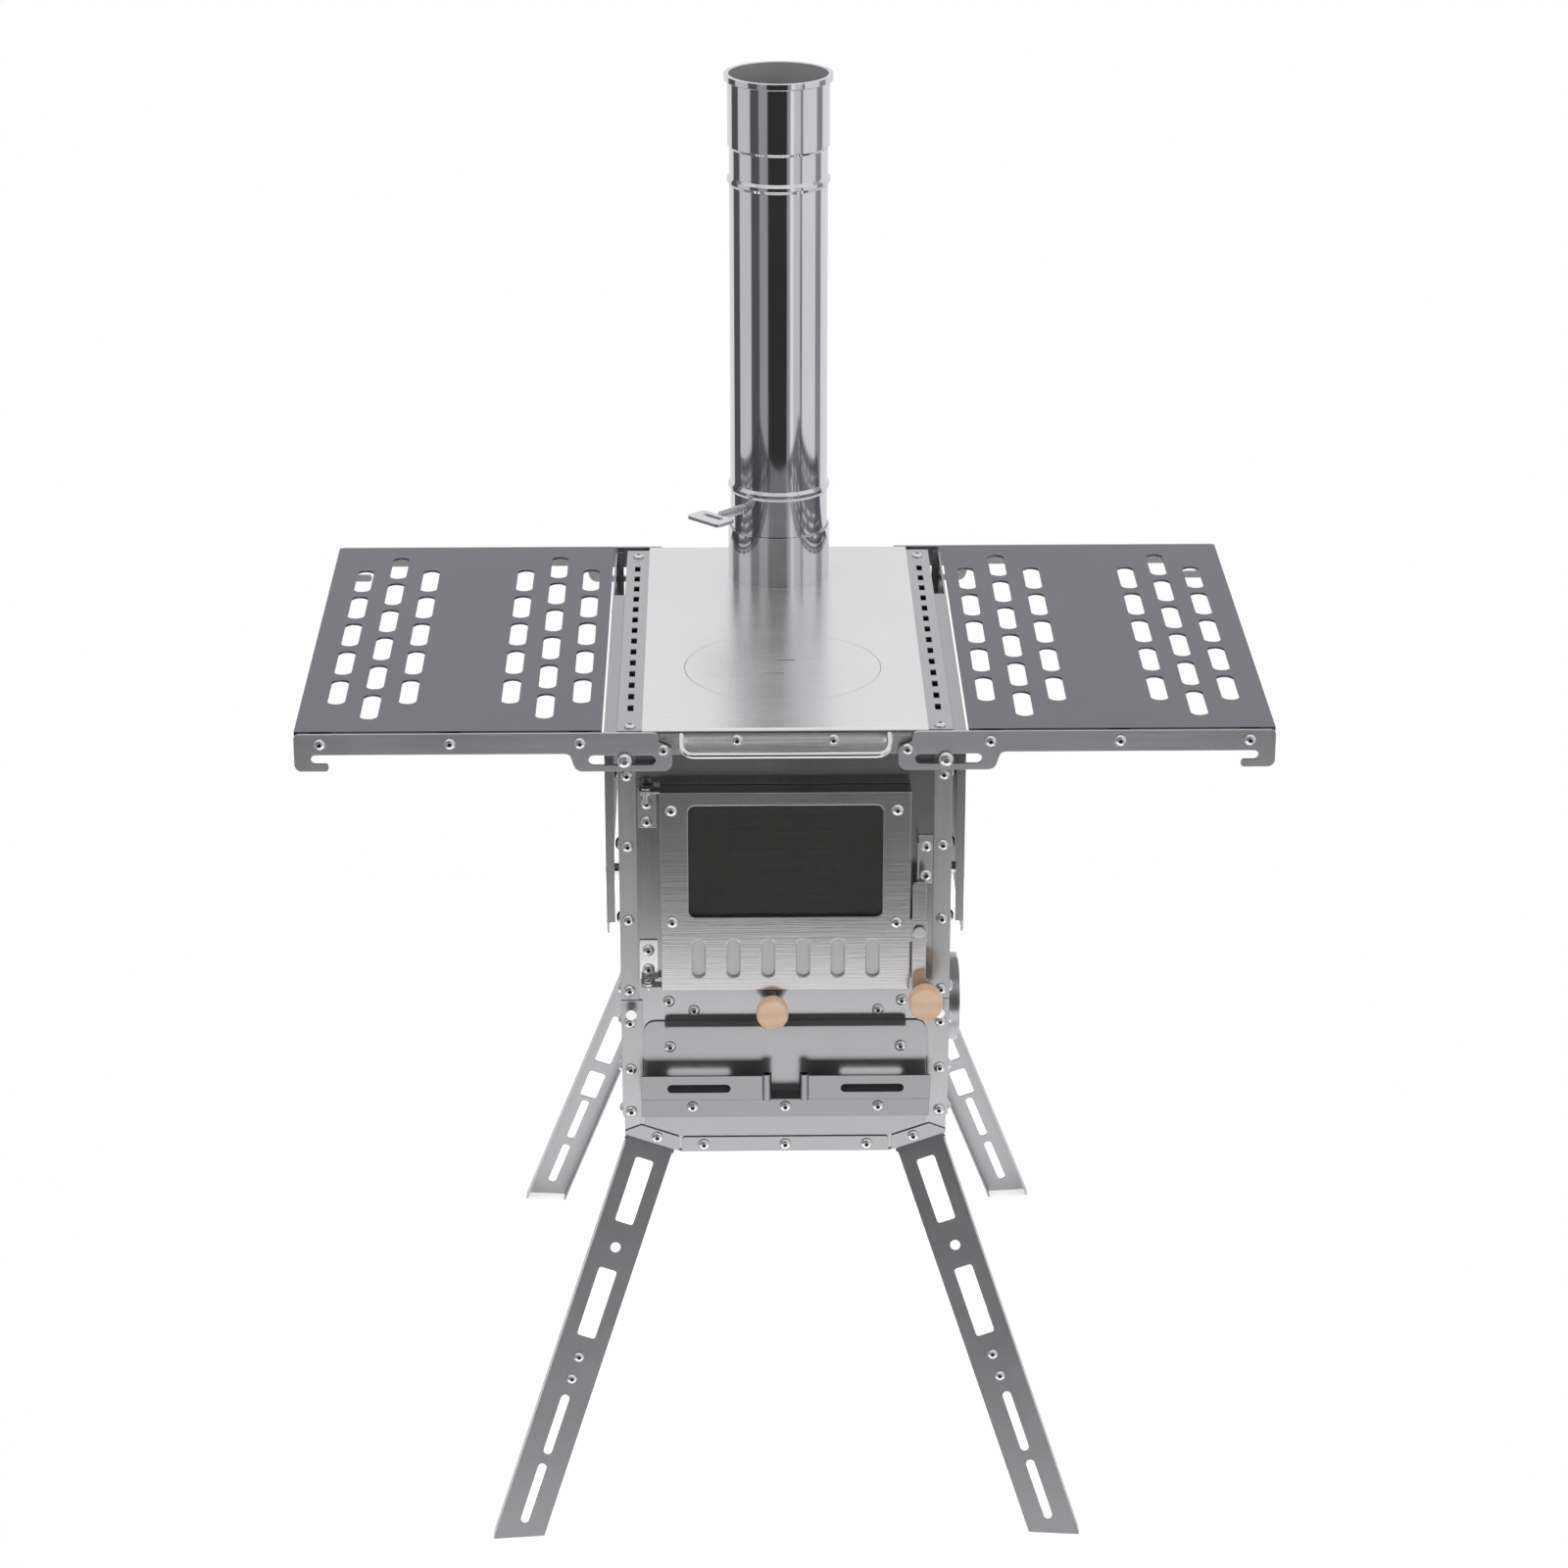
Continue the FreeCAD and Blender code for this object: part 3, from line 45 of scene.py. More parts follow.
print("frame loaded:", len(frame["nodes"]), "nodes")


# A socket that takes part in Python arithmetic: each operator adds one Math node
class Sock:
    def __init__(self, recipe, socket):
        self.recipe = recipe
        self.socket = socket

    def math(self, operation, first, second):
        return self.recipe.node("ShaderNodeMath", {"operation": operation}, [first, second])

    def __add__(self, other):
        return self.math("ADD", self, other)

    def __radd__(self, other):
        return self.math("ADD", other, self)

    def __sub__(self, other):
        return self.math("SUBTRACT", self, other)

    def __rsub__(self, other):
        return self.math("SUBTRACT", other, self)

    def __mul__(self, other):
        return self.math("MULTIPLY", self, other)

    def __rmul__(self, other):
        return self.math("MULTIPLY", other, self)

    def above(self, limit):
        return self.math("GREATER_THAN", self, limit)

    def below(self, limit):
        return self.math("LESS_THAN", self, limit)


class Recipe:
    def __init__(self, tree):
        self.tree = tree
        self.tree.nodes.clear()

    def node(self, kind, settings=None, inputs=None, out=0):
        made = self.tree.nodes.new(kind)
        for key, value in (settings or {}).items():
            if key == "stops":
                ramp = made.color_ramp
                while len(ramp.elements) < len(value):
                    ramp.elements.new(0.5)
                for element, (place, colour) in zip(ramp.elements, value):
                    element.position = place
                    element.color = colour
            else:
                setattr(made, key, value)
        pairs = inputs.items() if isinstance(inputs, dict) else enumerate(inputs or [])
        for key, value in pairs:
            if isinstance(value, Sock):
                self.tree.links.new(value.socket, made.inputs[key])
            else:
                made.inputs[key].default_value = value
        return Sock(self, made.outputs[out])

    def blend(self, factor, first, second):
        return self.node("ShaderNodeMix", {"data_type": "RGBA"}, {0: factor, 6: first, 7: second}, out=2)

    def place(self):
        return self.node("ShaderNodeTexCoord", out="Object")

    def noise(self, vector, scale, detail, roughness=0.5):
        values = {"Vector": vector, "Scale": scale, "Detail": detail, "Roughness": roughness}
        return self.node("ShaderNodeTexNoise", None, values)

    def stretch(self, vector, scale, turn=(0.0, 0.0, 0.0)):
        return self.node("ShaderNodeMapping", None, {"Vector": vector, "Rotation": turn, "Scale": scale})

    def axis(self, vector, name):
        return self.node("ShaderNodeSeparateXYZ", None, [vector], out=name)

    def vectors(self, operation, first, second, out=0):
        return self.node("ShaderNodeVectorMath", {"operation": operation}, [first, second], out=out)

    def bump(self, strength, distance, height, **more):
        values = {"Strength": strength, "Distance": distance, "Height": height, **more}
        return self.node("ShaderNodeBump", None, values)

    # One for a ray of any of these kinds
    def rays(self, *kinds):
        path = self.tree.nodes.new("ShaderNodeLightPath")
        found = 0.0
        for kind in kinds:
            ray = Sock(self, path.outputs[kind])
            found = ray.math("MAXIMUM", found, ray)
        return found

    def surface(self, values):
        self.close(self.node("ShaderNodeBsdfPrincipled", None, values))

    def close(self, shader, kind="ShaderNodeOutputMaterial"):
        end = self.tree.nodes.new(kind)
        self.tree.links.new(shader.socket, end.inputs["Surface"])


def newRecipe(name):
    material = bpy.data.materials.new(name)
    material.use_nodes = True
    return material, Recipe(material.node_tree)


def rgba(colour, gain=1.0):
    return tuple(min(1.0, c * gain) for c in colour) + (1.0,)


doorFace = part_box("door_panel")[0][1]
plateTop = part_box("cook_plate")[1][2]

# Finishes: tone is linear colour, spread how much the streaks vary the roughness, grain the streak density
# along X, Y, Z. A metal under 1 stands for fine scratches that scatter some light off the broad sheets
# The casing, front, leg and pull tones are set lower than the other steels': painted shade for the darker
# surroundings these sheets mirror
steels = {
    "casing_steel": {
        "tone": (0.40, 0.40, 0.41), "rough": 0.24, "spread": 0.09, "metal": 0.86,
        "grain": (900, 900, 14), "bump": 0.05,
    },
    "frame_steel": {
        "tone": (0.48, 0.48, 0.49), "rough": 0.30, "spread": 0.14, "metal": 0.90,
        "grain": (900, 900, 14), "bump": 0.05,
    },
    "front_steel": {
        "tone": (0.41, 0.41, 0.42), "rough": 0.18, "spread": 0.09,
        "grain": (900, 900, 14), "bump": 0.05,
    },
    "cook_steel": {
        "tone": (0.80, 0.80, 0.80), "rough": 0.24, "spread": 0.16, "metal": 0.77,
        "grain": (14, 1000, 900), "bump": 0.08,
        "lip": plateTop - 1.5 * mm,  # the bent lip below this height is unscratched
    },
    "pipe_steel": {
        "tone": (0.72, 0.72, 0.74), "rough": 0.07, "spread": 0.05,
        "grain": (500, 500, 10), "bump": 0.02,
        # The bore is duller: its faces are told by how far their normals point back at the pipe's axis
        "bore": {
            "axis": (0.0, 0.128, 0.0), "facing": -0.002,
            "tone": (0.40, 0.40, 0.41), "rough": 0.55, "metal": 0.35,
        },
    },
    "door_steel": {
        "tone": (0.59, 0.58, 0.585), "rough": 0.16, "spread": 0.10,
        "grain": (14, 900, 1000), "bump": 0.06,
        "edge": 1.1 * mm,  # the door pan is bent, not cut
        # The brush reaches only the door's proud face: the pressed vents behind it stay duller
        "behind": {"depth": doorFace + 1.2 * mm, "under": 440 * mm, "rough": 0.26},
    },
    "shelf_steel": {
        "tone": (0.178, 0.178, 0.202), "rough": 0.38, "spread": 0.12,
        "grain": (900, 12, 900), "bump": 0.05,
    },
    "rail_steel": {
        "tone": (0.58, 0.58, 0.60), "rough": 0.34, "spread": 0.14,
        "grain": (14, 900, 900), "bump": 0.06,
    },
    "leg_steel": {
        "tone": (0.43, 0.43, 0.445), "rough": 0.40, "spread": 0.16,
        "grain": (900, 900, 16), "bump": 0.06,
    },
    "fitting_steel": {
        "tone": (0.76, 0.76, 0.77), "rough": 0.17, "spread": 0.10,
        "grain": (400, 400, 400), "bump": 0.03,
    },
    "pull_steel": {
        "tone": (0.27, 0.27, 0.28), "rough": 0.10, "spread": 0.06,
        "grain": (14, 900, 900), "bump": 0.03,
    },
    # Also laid on the screws' hex recesses as painted shade
    "inner_steel": {
        "tone": (0.12, 0.115, 0.11), "rough": 0.48, "spread": 0.25,
        "grain": (60, 60, 60), "bump": 0.10,
    },
}

# What all steels share: how far streaks, clouds and smudges shade the tone, how far the last two
# change the roughness, their density, the relief of the streaks and the dulled edge of cut sheet
brush = {
    "shares": (0.55, 0.3, 0.15),
    "darkest": 0.86,
    "lightest": 1.12,
    "clouds": 11.0,
    "cloudRough": 0.10,
    "smudges": 46.0,
    "smudgeRough": 0.05,
    "relief": 0.4 * mm,
    "edge": 0.5 * mm,
    "edgeSamples": 4,
}


def steel(name, look):
    material, r = newRecipe(name)
    place = r.place()
    streak = r.noise(r.stretch(place, look["grain"]), scale=1.0, detail=4.0, roughness=0.65)
    cloud = r.noise(place, brush["clouds"], detail=3.0)
    smudge = r.noise(place, brush["smudges"], detail=5.0, roughness=0.7)
    streakShare, cloudShare, smudgeShare = brush["shares"]
    shade = streakShare * streak + cloudShare * cloud + smudgeShare * smudge
    colour = r.blend(shade, rgba(look["tone"], brush["darkest"]), rgba(look["tone"], brush["lightest"]))
    rough = look["rough"] + look["spread"] * (streak - 0.5)
    rough = rough + brush["cloudRough"] * (cloud - 0.5) + brush["smudgeRough"] * (smudge - 0.5)
    metal = look.get("metal", 1.0)
    if "lip" in look:
        bent = r.axis(place, "Z").below(look["lip"])
        metal = metal + (1.0 - metal) * bent
    if "behind" in look:
        vents = look["behind"]
        pressed = r.axis(place, "Y").above(vents["depth"]) * r.axis(place, "Z").below(vents["under"])
        rough = rough + vents["rough"] * pressed
    if "bore" in look:
        bore = look["bore"]
        outward = r.vectors("MULTIPLY", r.vectors("SUBTRACT", place, bore["axis"]), (1.0, 1.0, 0.0))
        facing = r.node("ShaderNodeTexCoord", out="Normal")
        inside = r.vectors("DOT_PRODUCT", outward, facing, out="Value").below(bore["facing"])
        colour = r.blend(inside, colour, rgba(bore["tone"]))
        rough = rough + inside * (bore["rough"] - rough)
        metal = 1.0 - inside * (1.0 - bore["metal"])
    edge = look.get("edge", brush["edge"])
    eased = r.node("ShaderNodeBevel", {"samples": brush["edgeSamples"]}, {"Radius": edge})
    bump = r.bump(look["bump"], brush["relief"], streak, Normal=eased)
    r.surface({"Base Color": colour, "Metallic": metal, "Roughness": rough, "Normal": bump})
    return material


beech = {
    "pale": (0.82, 0.58, 0.41),
    "dark": (0.72, 0.48, 0.32),
    "fleck": (0.46, 0.28, 0.16),
    "rings": 35.0,
    "ringShare": 0.6,
    "ringTurn": (0.25, 0.0, 0.35),
    "ringStretch": (1.0, 0.25, 1.0),
    "pores": (900.0, 120.0, 900.0),
    "poreStart": 0.60,
    "poreEnd": 0.72,
    "poreShare": 0.45,
    "rough": 0.52,
    "poreRough": 0.12,
    "bump": 0.12,
    "relief": 0.4 * mm,
}


def turnedBeech(name, look):
    material, r = newRecipe(name)
    place = r.place()
    turned = r.stretch(place, look["ringStretch"], look["ringTurn"])
    rings = r.node(
        "ShaderNodeTexWave",
        {"wave_type": "BANDS", "bands_direction": "Z"},
        {"Vector": turned, "Scale": look["rings"], "Distortion": 3.0, "Detail": 3.0, "Detail Scale": 2.0},
        out="Fac",
    )
    pores = r.noise(r.stretch(place, look["pores"]), scale=1.0, detail=3.0)
    stops = [(look["poreStart"], rgba((0, 0, 0))), (look["poreEnd"], rgba((1, 1, 1)))]
    fleck = r.node("ShaderNodeValToRGB", {"stops": stops}, {"Fac": pores})
    wood = r.blend(rings * look["ringShare"], rgba(look["pale"]), rgba(look["dark"]))
    wood = r.blend(fleck * look["poreShare"], wood, rgba(look["fleck"]))
    bump = r.bump(look["bump"], look["relief"], pores)
    rough = look["rough"] + look["poreRough"] * (pores - 0.5)
    r.surface({"Base Color": wood, "Roughness": rough, "Normal": bump})
    return material


glass = {
    "hazy": (0.55, 0.54, 0.52),
    "clear": (0.70, 0.69, 0.67),
    "haze": 24.0,
    "rough": 0.02,
    "hazeRough": 0.06,
    "bend": 1.5,
}


def ceramicGlass(name, look):
    material, r = newRecipe(name)
    haze = r.noise(r.place(), look["haze"], detail=4.0)
    colour = r.blend(haze, rgba(look["hazy"]), rgba(look["clear"]))
    rough = look["rough"] + look["hazeRough"] * haze
    r.surface({"Base Color": colour, "Roughness": rough, "Transmission Weight": 1.0, "IOR": look["bend"]})
    return material


rope = {
    "dark": (0.05, 0.048, 0.045),
    "pale": (0.17, 0.165, 0.155),
    "braid": 180.0,
    "fuzz": 900.0,
    "shares": (0.6, 0.4),
    "fuzzRelief": 0.5,
    "rough": 0.9,
    "bump": 0.5,
    "relief": 0.8 * mm,
}


def wovenSeal(name, look):
    material, r = newRecipe(name)
    place = r.place()
    twist = {"Vector": place, "Scale": look["braid"], "Distortion": 2.0, "Detail": 2.0}
    braid = r.node("ShaderNodeTexWave", None, twist, out="Fac")
    fuzz = r.noise(place, look["fuzz"], detail=4.0)
    braidShare, fuzzShare = look["shares"]
    colour = r.blend(braidShare * braid + fuzzShare * fuzz, rgba(look["dark"]), rgba(look["pale"]))
    bump = r.bump(look["bump"], look["relief"], braid + look["fuzzRelief"] * fuzz)
    r.surface({"Base Color": colour, "Roughness": look["rough"], "Normal": bump})
    return material


iron = {
    "dark": (0.028, 0.027, 0.026),
    "pale": (0.075, 0.065, 0.058),
    "sand": 700.0,
    "patches": 30.0,
    "metal": 0.6,
    "rough": 0.62,
    "patchRough": 0.2,
    "bump": 0.4,
    "relief": 0.6 * mm,
}


def castIron(name, look):
    material, r = newRecipe(name)
    place = r.place()
    sand = r.noise(place, look["sand"], detail=5.0)
    patch = r.noise(place, look["patches"], detail=4.0)
    colour = r.blend(patch, rgba(look["dark"]), rgba(look["pale"]))
    bump = r.bump(look["bump"], look["relief"], sand)
    rough = look["rough"] + look["patchRough"] * (patch - 0.5)
    r.surface({"Base Color": colour, "Metallic": look["metal"], "Roughness": rough, "Normal": bump})
    return material


finishes = {name: steel(name + "_look", look) for name, look in steels.items()}
finishes["knob_wood"] = turnedBeech("knob_wood_look", beech)
finishes["window_glass"] = ceramicGlass("window_glass_look", glass)
finishes["seal"] = wovenSeal("seal_look", rope)
finishes["grate_iron"] = castIron("grate_iron_look", iron)

slotOf = {entry["node"]: entry["material_slot"] for entry in frame["record"]["subparts"]}
# These two are polished finer than the casing that they are listed with; the pull's tone is also set darker
# as painted shade
slotOf["drawer_pull"] = "pull_steel"
slotOf["front_panel"] = "front_steel"
for name, obj in frame["nodes"].items():
    if not obj.material_slots:
        obj.data.materials.append(None)
    for slot in obj.material_slots:
        slot.material = finishes[slotOf[name]]
print("finishes set:", len(finishes))


# Button-head screws: the dome as shares of the radius and height, and half the width of the hexagonal recess
screwHead = {
    "radius": 4.0 * mm,
    "height": 2.2 * mm,
    "dome": ((1.0, 0.18), (0.93, 0.42), (0.76, 0.72), (0.56, 0.91), (0.42, 1.0)),
    "skirt": 0.2 * mm,
    "recess": 1.35 * mm,
    "recessDrop": 0.02 * mm,
    "depth": 1.5 * mm,
    "sides": 24,
}


def headMesh(look):
    tall = look["height"]
    wide = look["radius"]
    profile = [(wide, -look["skirt"])] + [(out * wide, up * tall) for out, up in look["dome"]]
    count = look["sides"]
    bm = bmesh.new()

    def ring(radiusAt, height):
        turns = [2 * math.pi * i / count for i in range(count)]
        return [bm.verts.new((radiusAt(t) * math.cos(t), radiusAt(t) * math.sin(t), height)) for t in turns]

    def hexagon(turn):
        sector = (turn + math.pi / 6) % (math.pi / 3) - math.pi / 6
        return look["recess"] / math.cos(sector)

    rings = [ring(lambda t, r=radius: r, height) for radius, height in profile]
    rings.append(ring(hexagon, tall - look["recessDrop"]))
    rings.append(ring(hexagon, tall - look["depth"]))
    for lower, upper in zip(rings, rings[1:]):
        for i in range(count):
            j = (i + 1) % count
            bm.faces.new((lower[i], lower[j], upper[j], upper[i]))
    bm.faces.new(rings[-1])
    bm.faces.new(list(reversed(rings[0])))
    bmesh.ops.recalc_face_normals(bm, faces=bm.faces)
    mesh = bpy.data.meshes.new("screwHeadMesh")
    bm.to_mesh(mesh)
    bm.free()
    for polygon in mesh.polygons:
        polygon.use_smooth = len(polygon.vertices) == 4
    # These recess faces later take the dark inner steel: painted shade
    recess = mesh.attributes.new("recess", "BOOLEAN", "FACE")
    firstWall = (len(rings) - 2) * count
    for i in range(firstWall, firstWall + count + 1):  # the walls, then the floor
        recess.data[i].value = True
    return mesh


def screwTree(headObject, material, recessShadeMaterial):
    tree = bpy.data.node_groups.new("screwField", "GeometryNodeTree")
    tree.interface.new_socket("Geometry", in_out="INPUT", socket_type="NodeSocketGeometry")
    size = tree.interface.new_socket("Head Size", in_out="INPUT", socket_type="NodeSocketFloat")
    size.default_value = 1.0
    tree.interface.new_socket("Geometry", in_out="OUTPUT", socket_type="NodeSocketGeometry")
    add = tree.nodes.new
    start = add("NodeGroupInput")
    facing = add("GeometryNodeInputNamedAttribute")
    facing.data_type = "FLOAT_VECTOR"
    facing.inputs["Name"].default_value = "facing"
    align = add("FunctionNodeAlignRotationToVector")
    align.axis = "Z"
    turn = add("FunctionNodeRandomValue")
    turn.data_type = "FLOAT"
    turn.inputs["Min"].default_value = 0.0
    turn.inputs["Max"].default_value = math.pi / 3
    turn.inputs["Seed"].default_value = 7
    spin = add("FunctionNodeRotateRotation")
    spin.rotation_space = "LOCAL"
    about = add("FunctionNodeAxisAngleToRotation")
    about.inputs["Axis"].default_value = (0.0, 0.0, 1.0)
    head = add("GeometryNodeObjectInfo")
    head.inputs["Object"].default_value = headObject
    scatter = add("GeometryNodeInstanceOnPoints")
    realize = add("GeometryNodeRealizeInstances")
    dress = add("GeometryNodeSetMaterial")
    dress.inputs["Material"].default_value = material
    recess = add("GeometryNodeInputNamedAttribute")
    recess.data_type = "BOOLEAN"
    recess.inputs["Name"].default_value = "recess"
    # The hex recess walls and floor get the dark inner steel: painted shade in the recess
    paintRecessShade = add("GeometryNodeSetMaterial")
    paintRecessShade.inputs["Material"].default_value = recessShadeMaterial
    end = add("NodeGroupOutput")
    link = tree.links.new
    link(start.outputs["Geometry"], scatter.inputs["Points"])
    link(head.outputs["Geometry"], scatter.inputs["Instance"])
    link(facing.outputs["Attribute"], align.inputs["Vector"])
    link(next(s for s in turn.outputs if s.enabled), about.inputs["Angle"])
    link(align.outputs["Rotation"], spin.inputs["Rotation"])
    link(about.outputs["Rotation"], spin.inputs["Rotate By"])
    link(spin.outputs["Rotation"], scatter.inputs["Rotation"])
    link(start.outputs["Head Size"], scatter.inputs["Scale"])
    link(scatter.outputs["Instances"], realize.inputs["Geometry"])
    link(realize.outputs["Geometry"], dress.inputs["Geometry"])
    link(dress.outputs["Geometry"], paintRecessShade.inputs["Geometry"])
    link(recess.outputs["Attribute"], paintRecessShade.inputs["Selection"])
    link(paintRecessShade.outputs["Geometry"], end.inputs["Geometry"])
    return tree, size.identifier


headObject = bpy.data.objects.new("screwHead", headMesh(screwHead))
bpy.context.scene.collection.objects.link(headObject)
# The heads take the fitting steel, and their hex recesses take the dark inner steel as painted shade
tree, sizeInput = screwTree(headObject, finishes["fitting_steel"], finishes["inner_steel"])


def screwPiece(name, body, spots, size=1.0):
    mesh = bpy.data.meshes.new(name + "Spots")
    mesh.from_pydata([tuple(place) for place, facing in spots], [], [])
    layer = mesh.attributes.new("facing", "FLOAT_VECTOR", "POINT")
    for i, (place, facing) in enumerate(spots):
        layer.data[i].vector = facing
    holder = bpy.data.objects.new(name + "Holder", mesh)
    bpy.context.scene.collection.objects.link(holder)
    modifier = holder.modifiers.new("screws", "NODES")
    modifier.node_group = tree
    modifier[sizeInput] = size
    graph = bpy.context.evaluated_depsgraph_get()
    made = bpy.data.meshes.new_from_object(holder.evaluated_get(graph))
    made.name = name
    bpy.data.objects.remove(holder)
    piece = bpy.data.objects.new(name, made)
    bpy.context.scene.collection.objects.link(piece)
    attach(piece, body)


ahead = Vector((0, -1, 0))
behind = Vector((0, 1, 0))
rightward = Vector((1, 0, 0))
upward = Vector((0, 0, 1))


def low(node):
    return Vector(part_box(node)[0])


def high(node):
    return Vector(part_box(node)[1])


# Screw rows, in millimetres of the frame: heights on posts, keeper and hinges, X and Z on the panel, and X on
# flanges and lip. Insets, rises and drops are from the piece's own edge
casingScrews = {
    "upperPost": (541, 490, 436, 384),
    "lowerPost": (360, 325, 293),
    "postInset": 6.0,
    "panel": ((-62, 368.5), (63, 368.5), (-79, 375.5), (79, 375.5)),
    "flange": (-56, 0, 56),
    "flangeRise": 5.5,
    "facetFlange": 88,
    "facetRise": 11.2,
    "lip": (-32, 32),
    "lipDrop": 8,
    "stripEnds": (-178, 170),
    "stripOut": 103,
    "keeper": (489, 468),
    "keeperInset": 4.2,
    "hinge": (521, 508, 414, 400),
    "hingeInset": 6,
    "shield": 124,
    "shieldInset": 4,
}


def casingSpots(look):
    spots = []
    postFront = low("upper_corner_posts").y
    postBack = high("upper_corner_posts").y
    postSide = high("upper_corner_posts").x
    inset = look["postInset"] * mm
    for height in look["upperPost"] + look["lowerPost"]:
        for sign in (-1, 1):
            spots.append((Vector((sign * (postSide - inset), postFront, height * mm)), ahead))
            spots.append((Vector((sign * (postSide - inset), postBack, height * mm)), behind))
            for y in (postFront + inset, postBack - inset):
                spots.append((Vector((sign * postSide, y, height * mm)), rightward * sign))
    panelFront = low("front_panel").y
    for x, z in look["panel"]:
        spots.append((Vector((x * mm, panelFront, z * mm)), ahead))
    pan = low("bottom_pan")
    panBack = high("bottom_pan").y
    rise = pan.z + look["flangeRise"] * mm
    for x in look["flange"]:
        spots.append((Vector((x * mm, pan.y, rise)), ahead))
        spots.append((Vector((x * mm, panBack, rise)), behind))
    rise = pan.z + look["facetRise"] * mm
    for sign in (-1, 1):
        spots.append((Vector((sign * look["facetFlange"] * mm, pan.y, rise)), ahead))
        spots.append((Vector((sign * look["facetFlange"] * mm, panBack, rise)), behind))
    plateFront = low("cook_plate").y
    for x in look["lip"]:
        spots.append((Vector((x * mm, plateFront, high("cook_plate").z - look["lipDrop"] * mm)), ahead))
    stripTop = high("right_vent_strip").z
    for sign in (-1, 1):
        for y in look["stripEnds"]:
            spots.append((Vector((sign * look["stripOut"] * mm, y * mm, stripTop)), upward))
    keeperX = high("latch_keeper").x - look["keeperInset"] * mm
    for z in look["keeper"]:
        spots.append((Vector((keeperX, postFront, z * mm)), ahead))
    hingeX = low("door_hinge_brackets").x + look["hingeInset"] * mm
    for z in look["hinge"]:
        spots.append((Vector((hingeX, postFront, z * mm)), ahead))
    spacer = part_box("shield_spacers")
    inset = look["shieldInset"] * mm
    for sign, node in ((-1, "left_shield"), (1, "right_shield")):
        face = low(node).x if sign < 0 else high(node).x
        for y in (-look["shield"], look["shield"]):
            for z in (spacer[0][2] + inset, spacer[1][2] - inset):
                spots.append((Vector((face, y * mm, z)), rightward * sign))
    return spots


# Domed heads of the shelf pivots, clear of the rails that turn behind them
pivotHeads = {"size": 1.3, "railGap": 0.6}


def pivotSpots(look):
    front = low("right_shelf_rails").y - look["railGap"] * mm
    back = high("right_shelf_rails").y + look["railGap"] * mm
    x, y, z = jointOf["right_shelf_fold"]["pos_m"]
    spots = []
    for sign in (-1, 1):
        spots.append((Vector((sign * x, front, z)), ahead))
        spots.append((Vector((sign * x, back, z)), behind))
    return spots


doorScrews = {"places": ((-76, 441), (74.4, 440), (-76, 521.7), (74.4, 521.5))}


def doorSpots(look):
    face = low("door_panel").y
    return [(Vector((x * mm, face, z * mm)), ahead) for x, z in look["places"]]


drawerScrews = {"corner": (78.5, 342), "pull": (-63.5, 0, 63.5), "pullHeight": 297, "sheet": 1.2}


def drawerSpots(look):
    face = high("drawer_front").y - look["sheet"] * mm
    x, z = look["corner"]
    spots = [(Vector((sign * x * mm, face, z * mm)), ahead) for sign in (-1, 1)]
    pullFace = high("drawer_pull").y - look["sheet"] * mm
    spots += [(Vector((x * mm, pullFace, look["pullHeight"] * mm)), ahead) for x in look["pull"]]
    return spots


shelfScrews = {"places": ((308, 566.4), (222, 566.4), (136, 566.4), (80.8, 561))}


def shelfSpots(look, node, sign):
    spots = []
    for x, z in look["places"]:
        spots.append((Vector((sign * x * mm, low(node).y, z * mm)), ahead))
        spots.append((Vector((sign * x * mm, high(node).y, z * mm)), behind))
    return spots


# Distances down the leg from its pivot, and the leg's lean to the front and to the side in degrees
legScrews = {"along": (156, 172), "webAhead": 5.5, "splay": 16.6, "facet": 19.5, "size": 0.9}


def legSpots(look, joint, sign):
    pivot = Vector(joint["pos_m"])
    turn = Matrix.Rotation(math.radians(-sign * look["facet"]), 3, "Y")
    turn = turn @ Matrix.Rotation(math.radians(-look["splay"]), 3, "X")
    web = -look["webAhead"] * mm
    return [(pivot + turn @ Vector((0, web, -s * mm)), turn @ ahead) for s in look["along"]]


screwPiece("casing_screws", "stove", casingSpots(casingScrews))
screwPiece("shelf_pivot_heads", "stove", pivotSpots(pivotHeads), pivotHeads["size"])
screwPiece("door_screws", "door", doorSpots(doorScrews))
screwPiece("drawer_screws", "ash_drawer", drawerSpots(drawerScrews))
for side, sign in (("left", -1), ("right", 1)):
    screwPiece(side + "_shelf_screws", side + "_shelf", shelfSpots(shelfScrews, side + "_shelf_rails", sign))
    legs = legSpots(legScrews, jointOf["front_" + side + "_leg_fold"], sign)
    screwPiece(side + "_leg_screws", "front_" + side + "_foot", legs, legScrews["size"])
bpy.data.objects.remove(headObject)
print("screws placed")


# Stage: pale floor, soft lamps, and dark and pale screens round the room that bright sheet mirrors.
# Each screen is its start in turns from the back, and its tone
stage = {
    "floorWide": 0.52,
    "floorFront": -1.13,
    "floorBack": 0.9,
    "floorTone": 0.86,
    "floorGlow": 0.60,
    "sky": 0.50,
    "screens": [
        (0.0, 0.86),
        (0.136, 0.10),
        (0.211, 0.66),
        (0.311, 0.10),
        (0.372, 0.36),
        (0.428, 0.035),
        (0.551, 0.34),
        (0.572, 0.95),
        (0.594, 0.66),
        (0.642, 0.08),
        (0.653, 0.80),
        (0.764, 0.30),
        (0.822, 0.86),
    ],
    "screenEdge": 0.004,
    "screenBlue": 1.02,
    "ceiling": (0.90, 0.90, 0.91),
    "ceilingRise": (0.38, 0.85),
    "beyond": 0.46,  # the studio floor past the pale sheet, which mirrors the screens by half
    "beyondShare": 0.5,
    "beyondRise": (-0.345, -0.375),
}


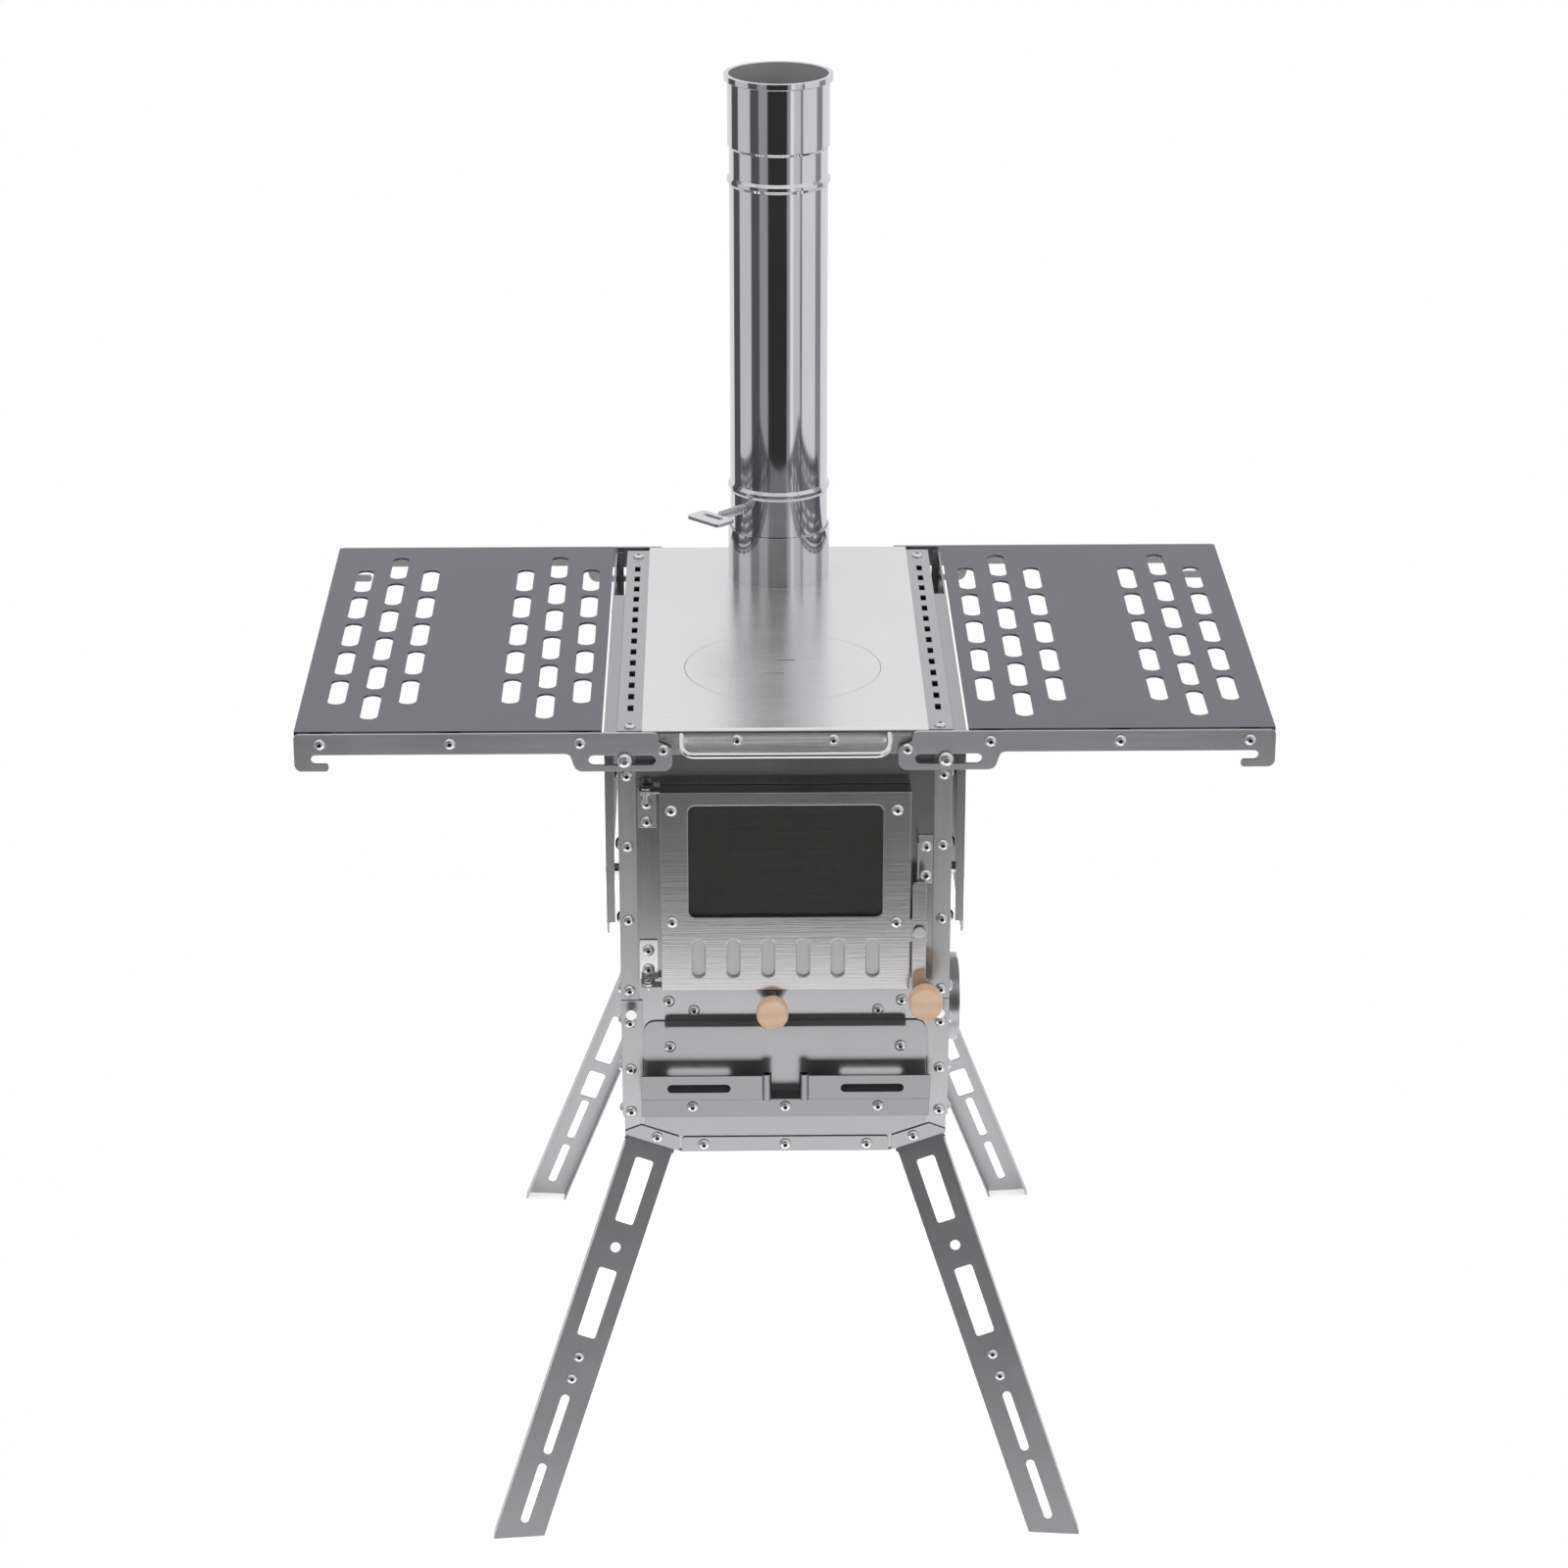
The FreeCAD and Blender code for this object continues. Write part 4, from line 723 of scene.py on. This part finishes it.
def paleFloor(look):
    wide = look["floorWide"]
    corners = [(-wide, look["floorFront"], 0), (wide, look["floorFront"], 0)]
    corners += [(wide, look["floorBack"], 0), (-wide, look["floorBack"], 0)]
    mesh = bpy.data.meshes.new("floorMesh")
    mesh.from_pydata(corners, [], [(0, 1, 2, 3)])
    floor = bpy.data.objects.new("floor", mesh)
    bpy.context.scene.collection.objects.link(floor)
    material, r = newRecipe("pale_floor")
    matt = r.node("ShaderNodeBsdfDiffuse", None, {"Color": rgba((look["floorTone"],) * 3)})
    glow = r.node("ShaderNodeEmission", None, {"Color": rgba((1, 1, 1)), "Strength": look["floorGlow"]})
    seen = r.rays("Is Camera Ray", "Is Glossy Ray", "Is Transmission Ray")
    both = r.node("ShaderNodeAddShader", None, [matt, glow])
    r.close(r.node("ShaderNodeMixShader", None, [seen, matt, both]))
    floor.data.materials.append(material)


def studioWorld(look):
    world = bpy.data.worlds.new("studio")
    bpy.context.scene.world = world
    world.use_nodes = True
    r = Recipe(world.node_tree)
    heading = r.node("ShaderNodeTexCoord", out="Generated")
    rise = r.axis(heading, "Z")

    def climb(limits):
        values = {"Value": rise, "From Min": limits[0], "From Max": limits[1]}
        return r.node("ShaderNodeMapRange", {"clamp": True}, values)

    def glow(colour, strength):
        return r.node("ShaderNodeBackground", None, {"Color": colour, "Strength": strength})

    depth = r.axis(heading, "Y")
    around = r.node("ShaderNodeMath", {"operation": "ARCTAN2"}, [r.axis(heading, "X"), 0.0 - depth])
    turns = 0.5 + around * (0.5 / math.pi)
    stops = []
    ends = [start for start, tone in look["screens"][1:]] + [1.0]
    for (start, tone), end in zip(look["screens"], ends):
        colour = rgba((tone, tone, tone * look["screenBlue"]))
        stops += [(start + look["screenEdge"], colour), (end - look["screenEdge"], colour)]
    bands = r.node("ShaderNodeValToRGB", {"stops": stops}, {"Fac": turns})
    mirrored = r.blend(climb(look["ceilingRise"]), bands, rgba(look["ceiling"]))
    ground = r.blend(look["beyondShare"], bands, rgba((look["beyond"],) * 3))
    mirrored = r.blend(climb(look["beyondRise"]), mirrored, ground)
    white = rgba((1, 1, 1))
    glossy = r.rays("Is Glossy Ray")
    step = r.node("ShaderNodeMixShader", None, [glossy, glow(white, look["sky"]), glow(mirrored, 1.0)])
    seen = r.rays("Is Camera Ray", "Is Transmission Ray")
    final = r.node("ShaderNodeMixShader", None, [seen, step, glow(white, 1.0)])
    r.close(final, "ShaderNodeOutputWorld")


lamps = {
    "key": {"place": (-2.7, -2.1, 3.2), "size": 3.8, "power": 52},
    "fill": {"place": (2.8, -1.5, 2.0), "size": 3.0, "power": 30},
    "top": {"place": (0.0, 0.6, 3.6), "size": 3.2, "power": 32},
}
lampTarget = Vector((0, 0, 0.5))


def softLamps(lamps, target):
    for name, look in lamps.items():
        data = bpy.data.lights.new(name, "AREA")
        data.size = look["size"]
        data.energy = look["power"]
        lamp = bpy.data.objects.new(name, data)
        lamp.location = look["place"]
        lamp.visible_glossy = False
        lamp.rotation_euler = (target - Vector(look["place"])).to_track_quat("-Z", "Y").to_euler()
        bpy.context.scene.collection.objects.link(lamp)


cameraView = {"place": (-0.040, -2.825, 1.595), "pitch": 21.9, "yaw": -0.85, "lens": 98.1, "sensor": 36.0}


def photoCamera(look):
    data = bpy.data.cameras.new("camera")
    data.sensor_width = look["sensor"]
    data.lens = look["lens"]
    camera = bpy.data.objects.new("camera", data)
    camera.location = look["place"]
    camera.rotation_euler = (math.radians(90 - look["pitch"]), 0.0, math.radians(look["yaw"]))
    bpy.context.scene.collection.objects.link(camera)
    bpy.context.scene.camera = camera


paleFloor(stage)
studioWorld(stage)
softLamps(lamps, lampTarget)
photoCamera(cameraView)
bpy.context.scene.view_settings.view_transform = "Standard"
print("stage ready")
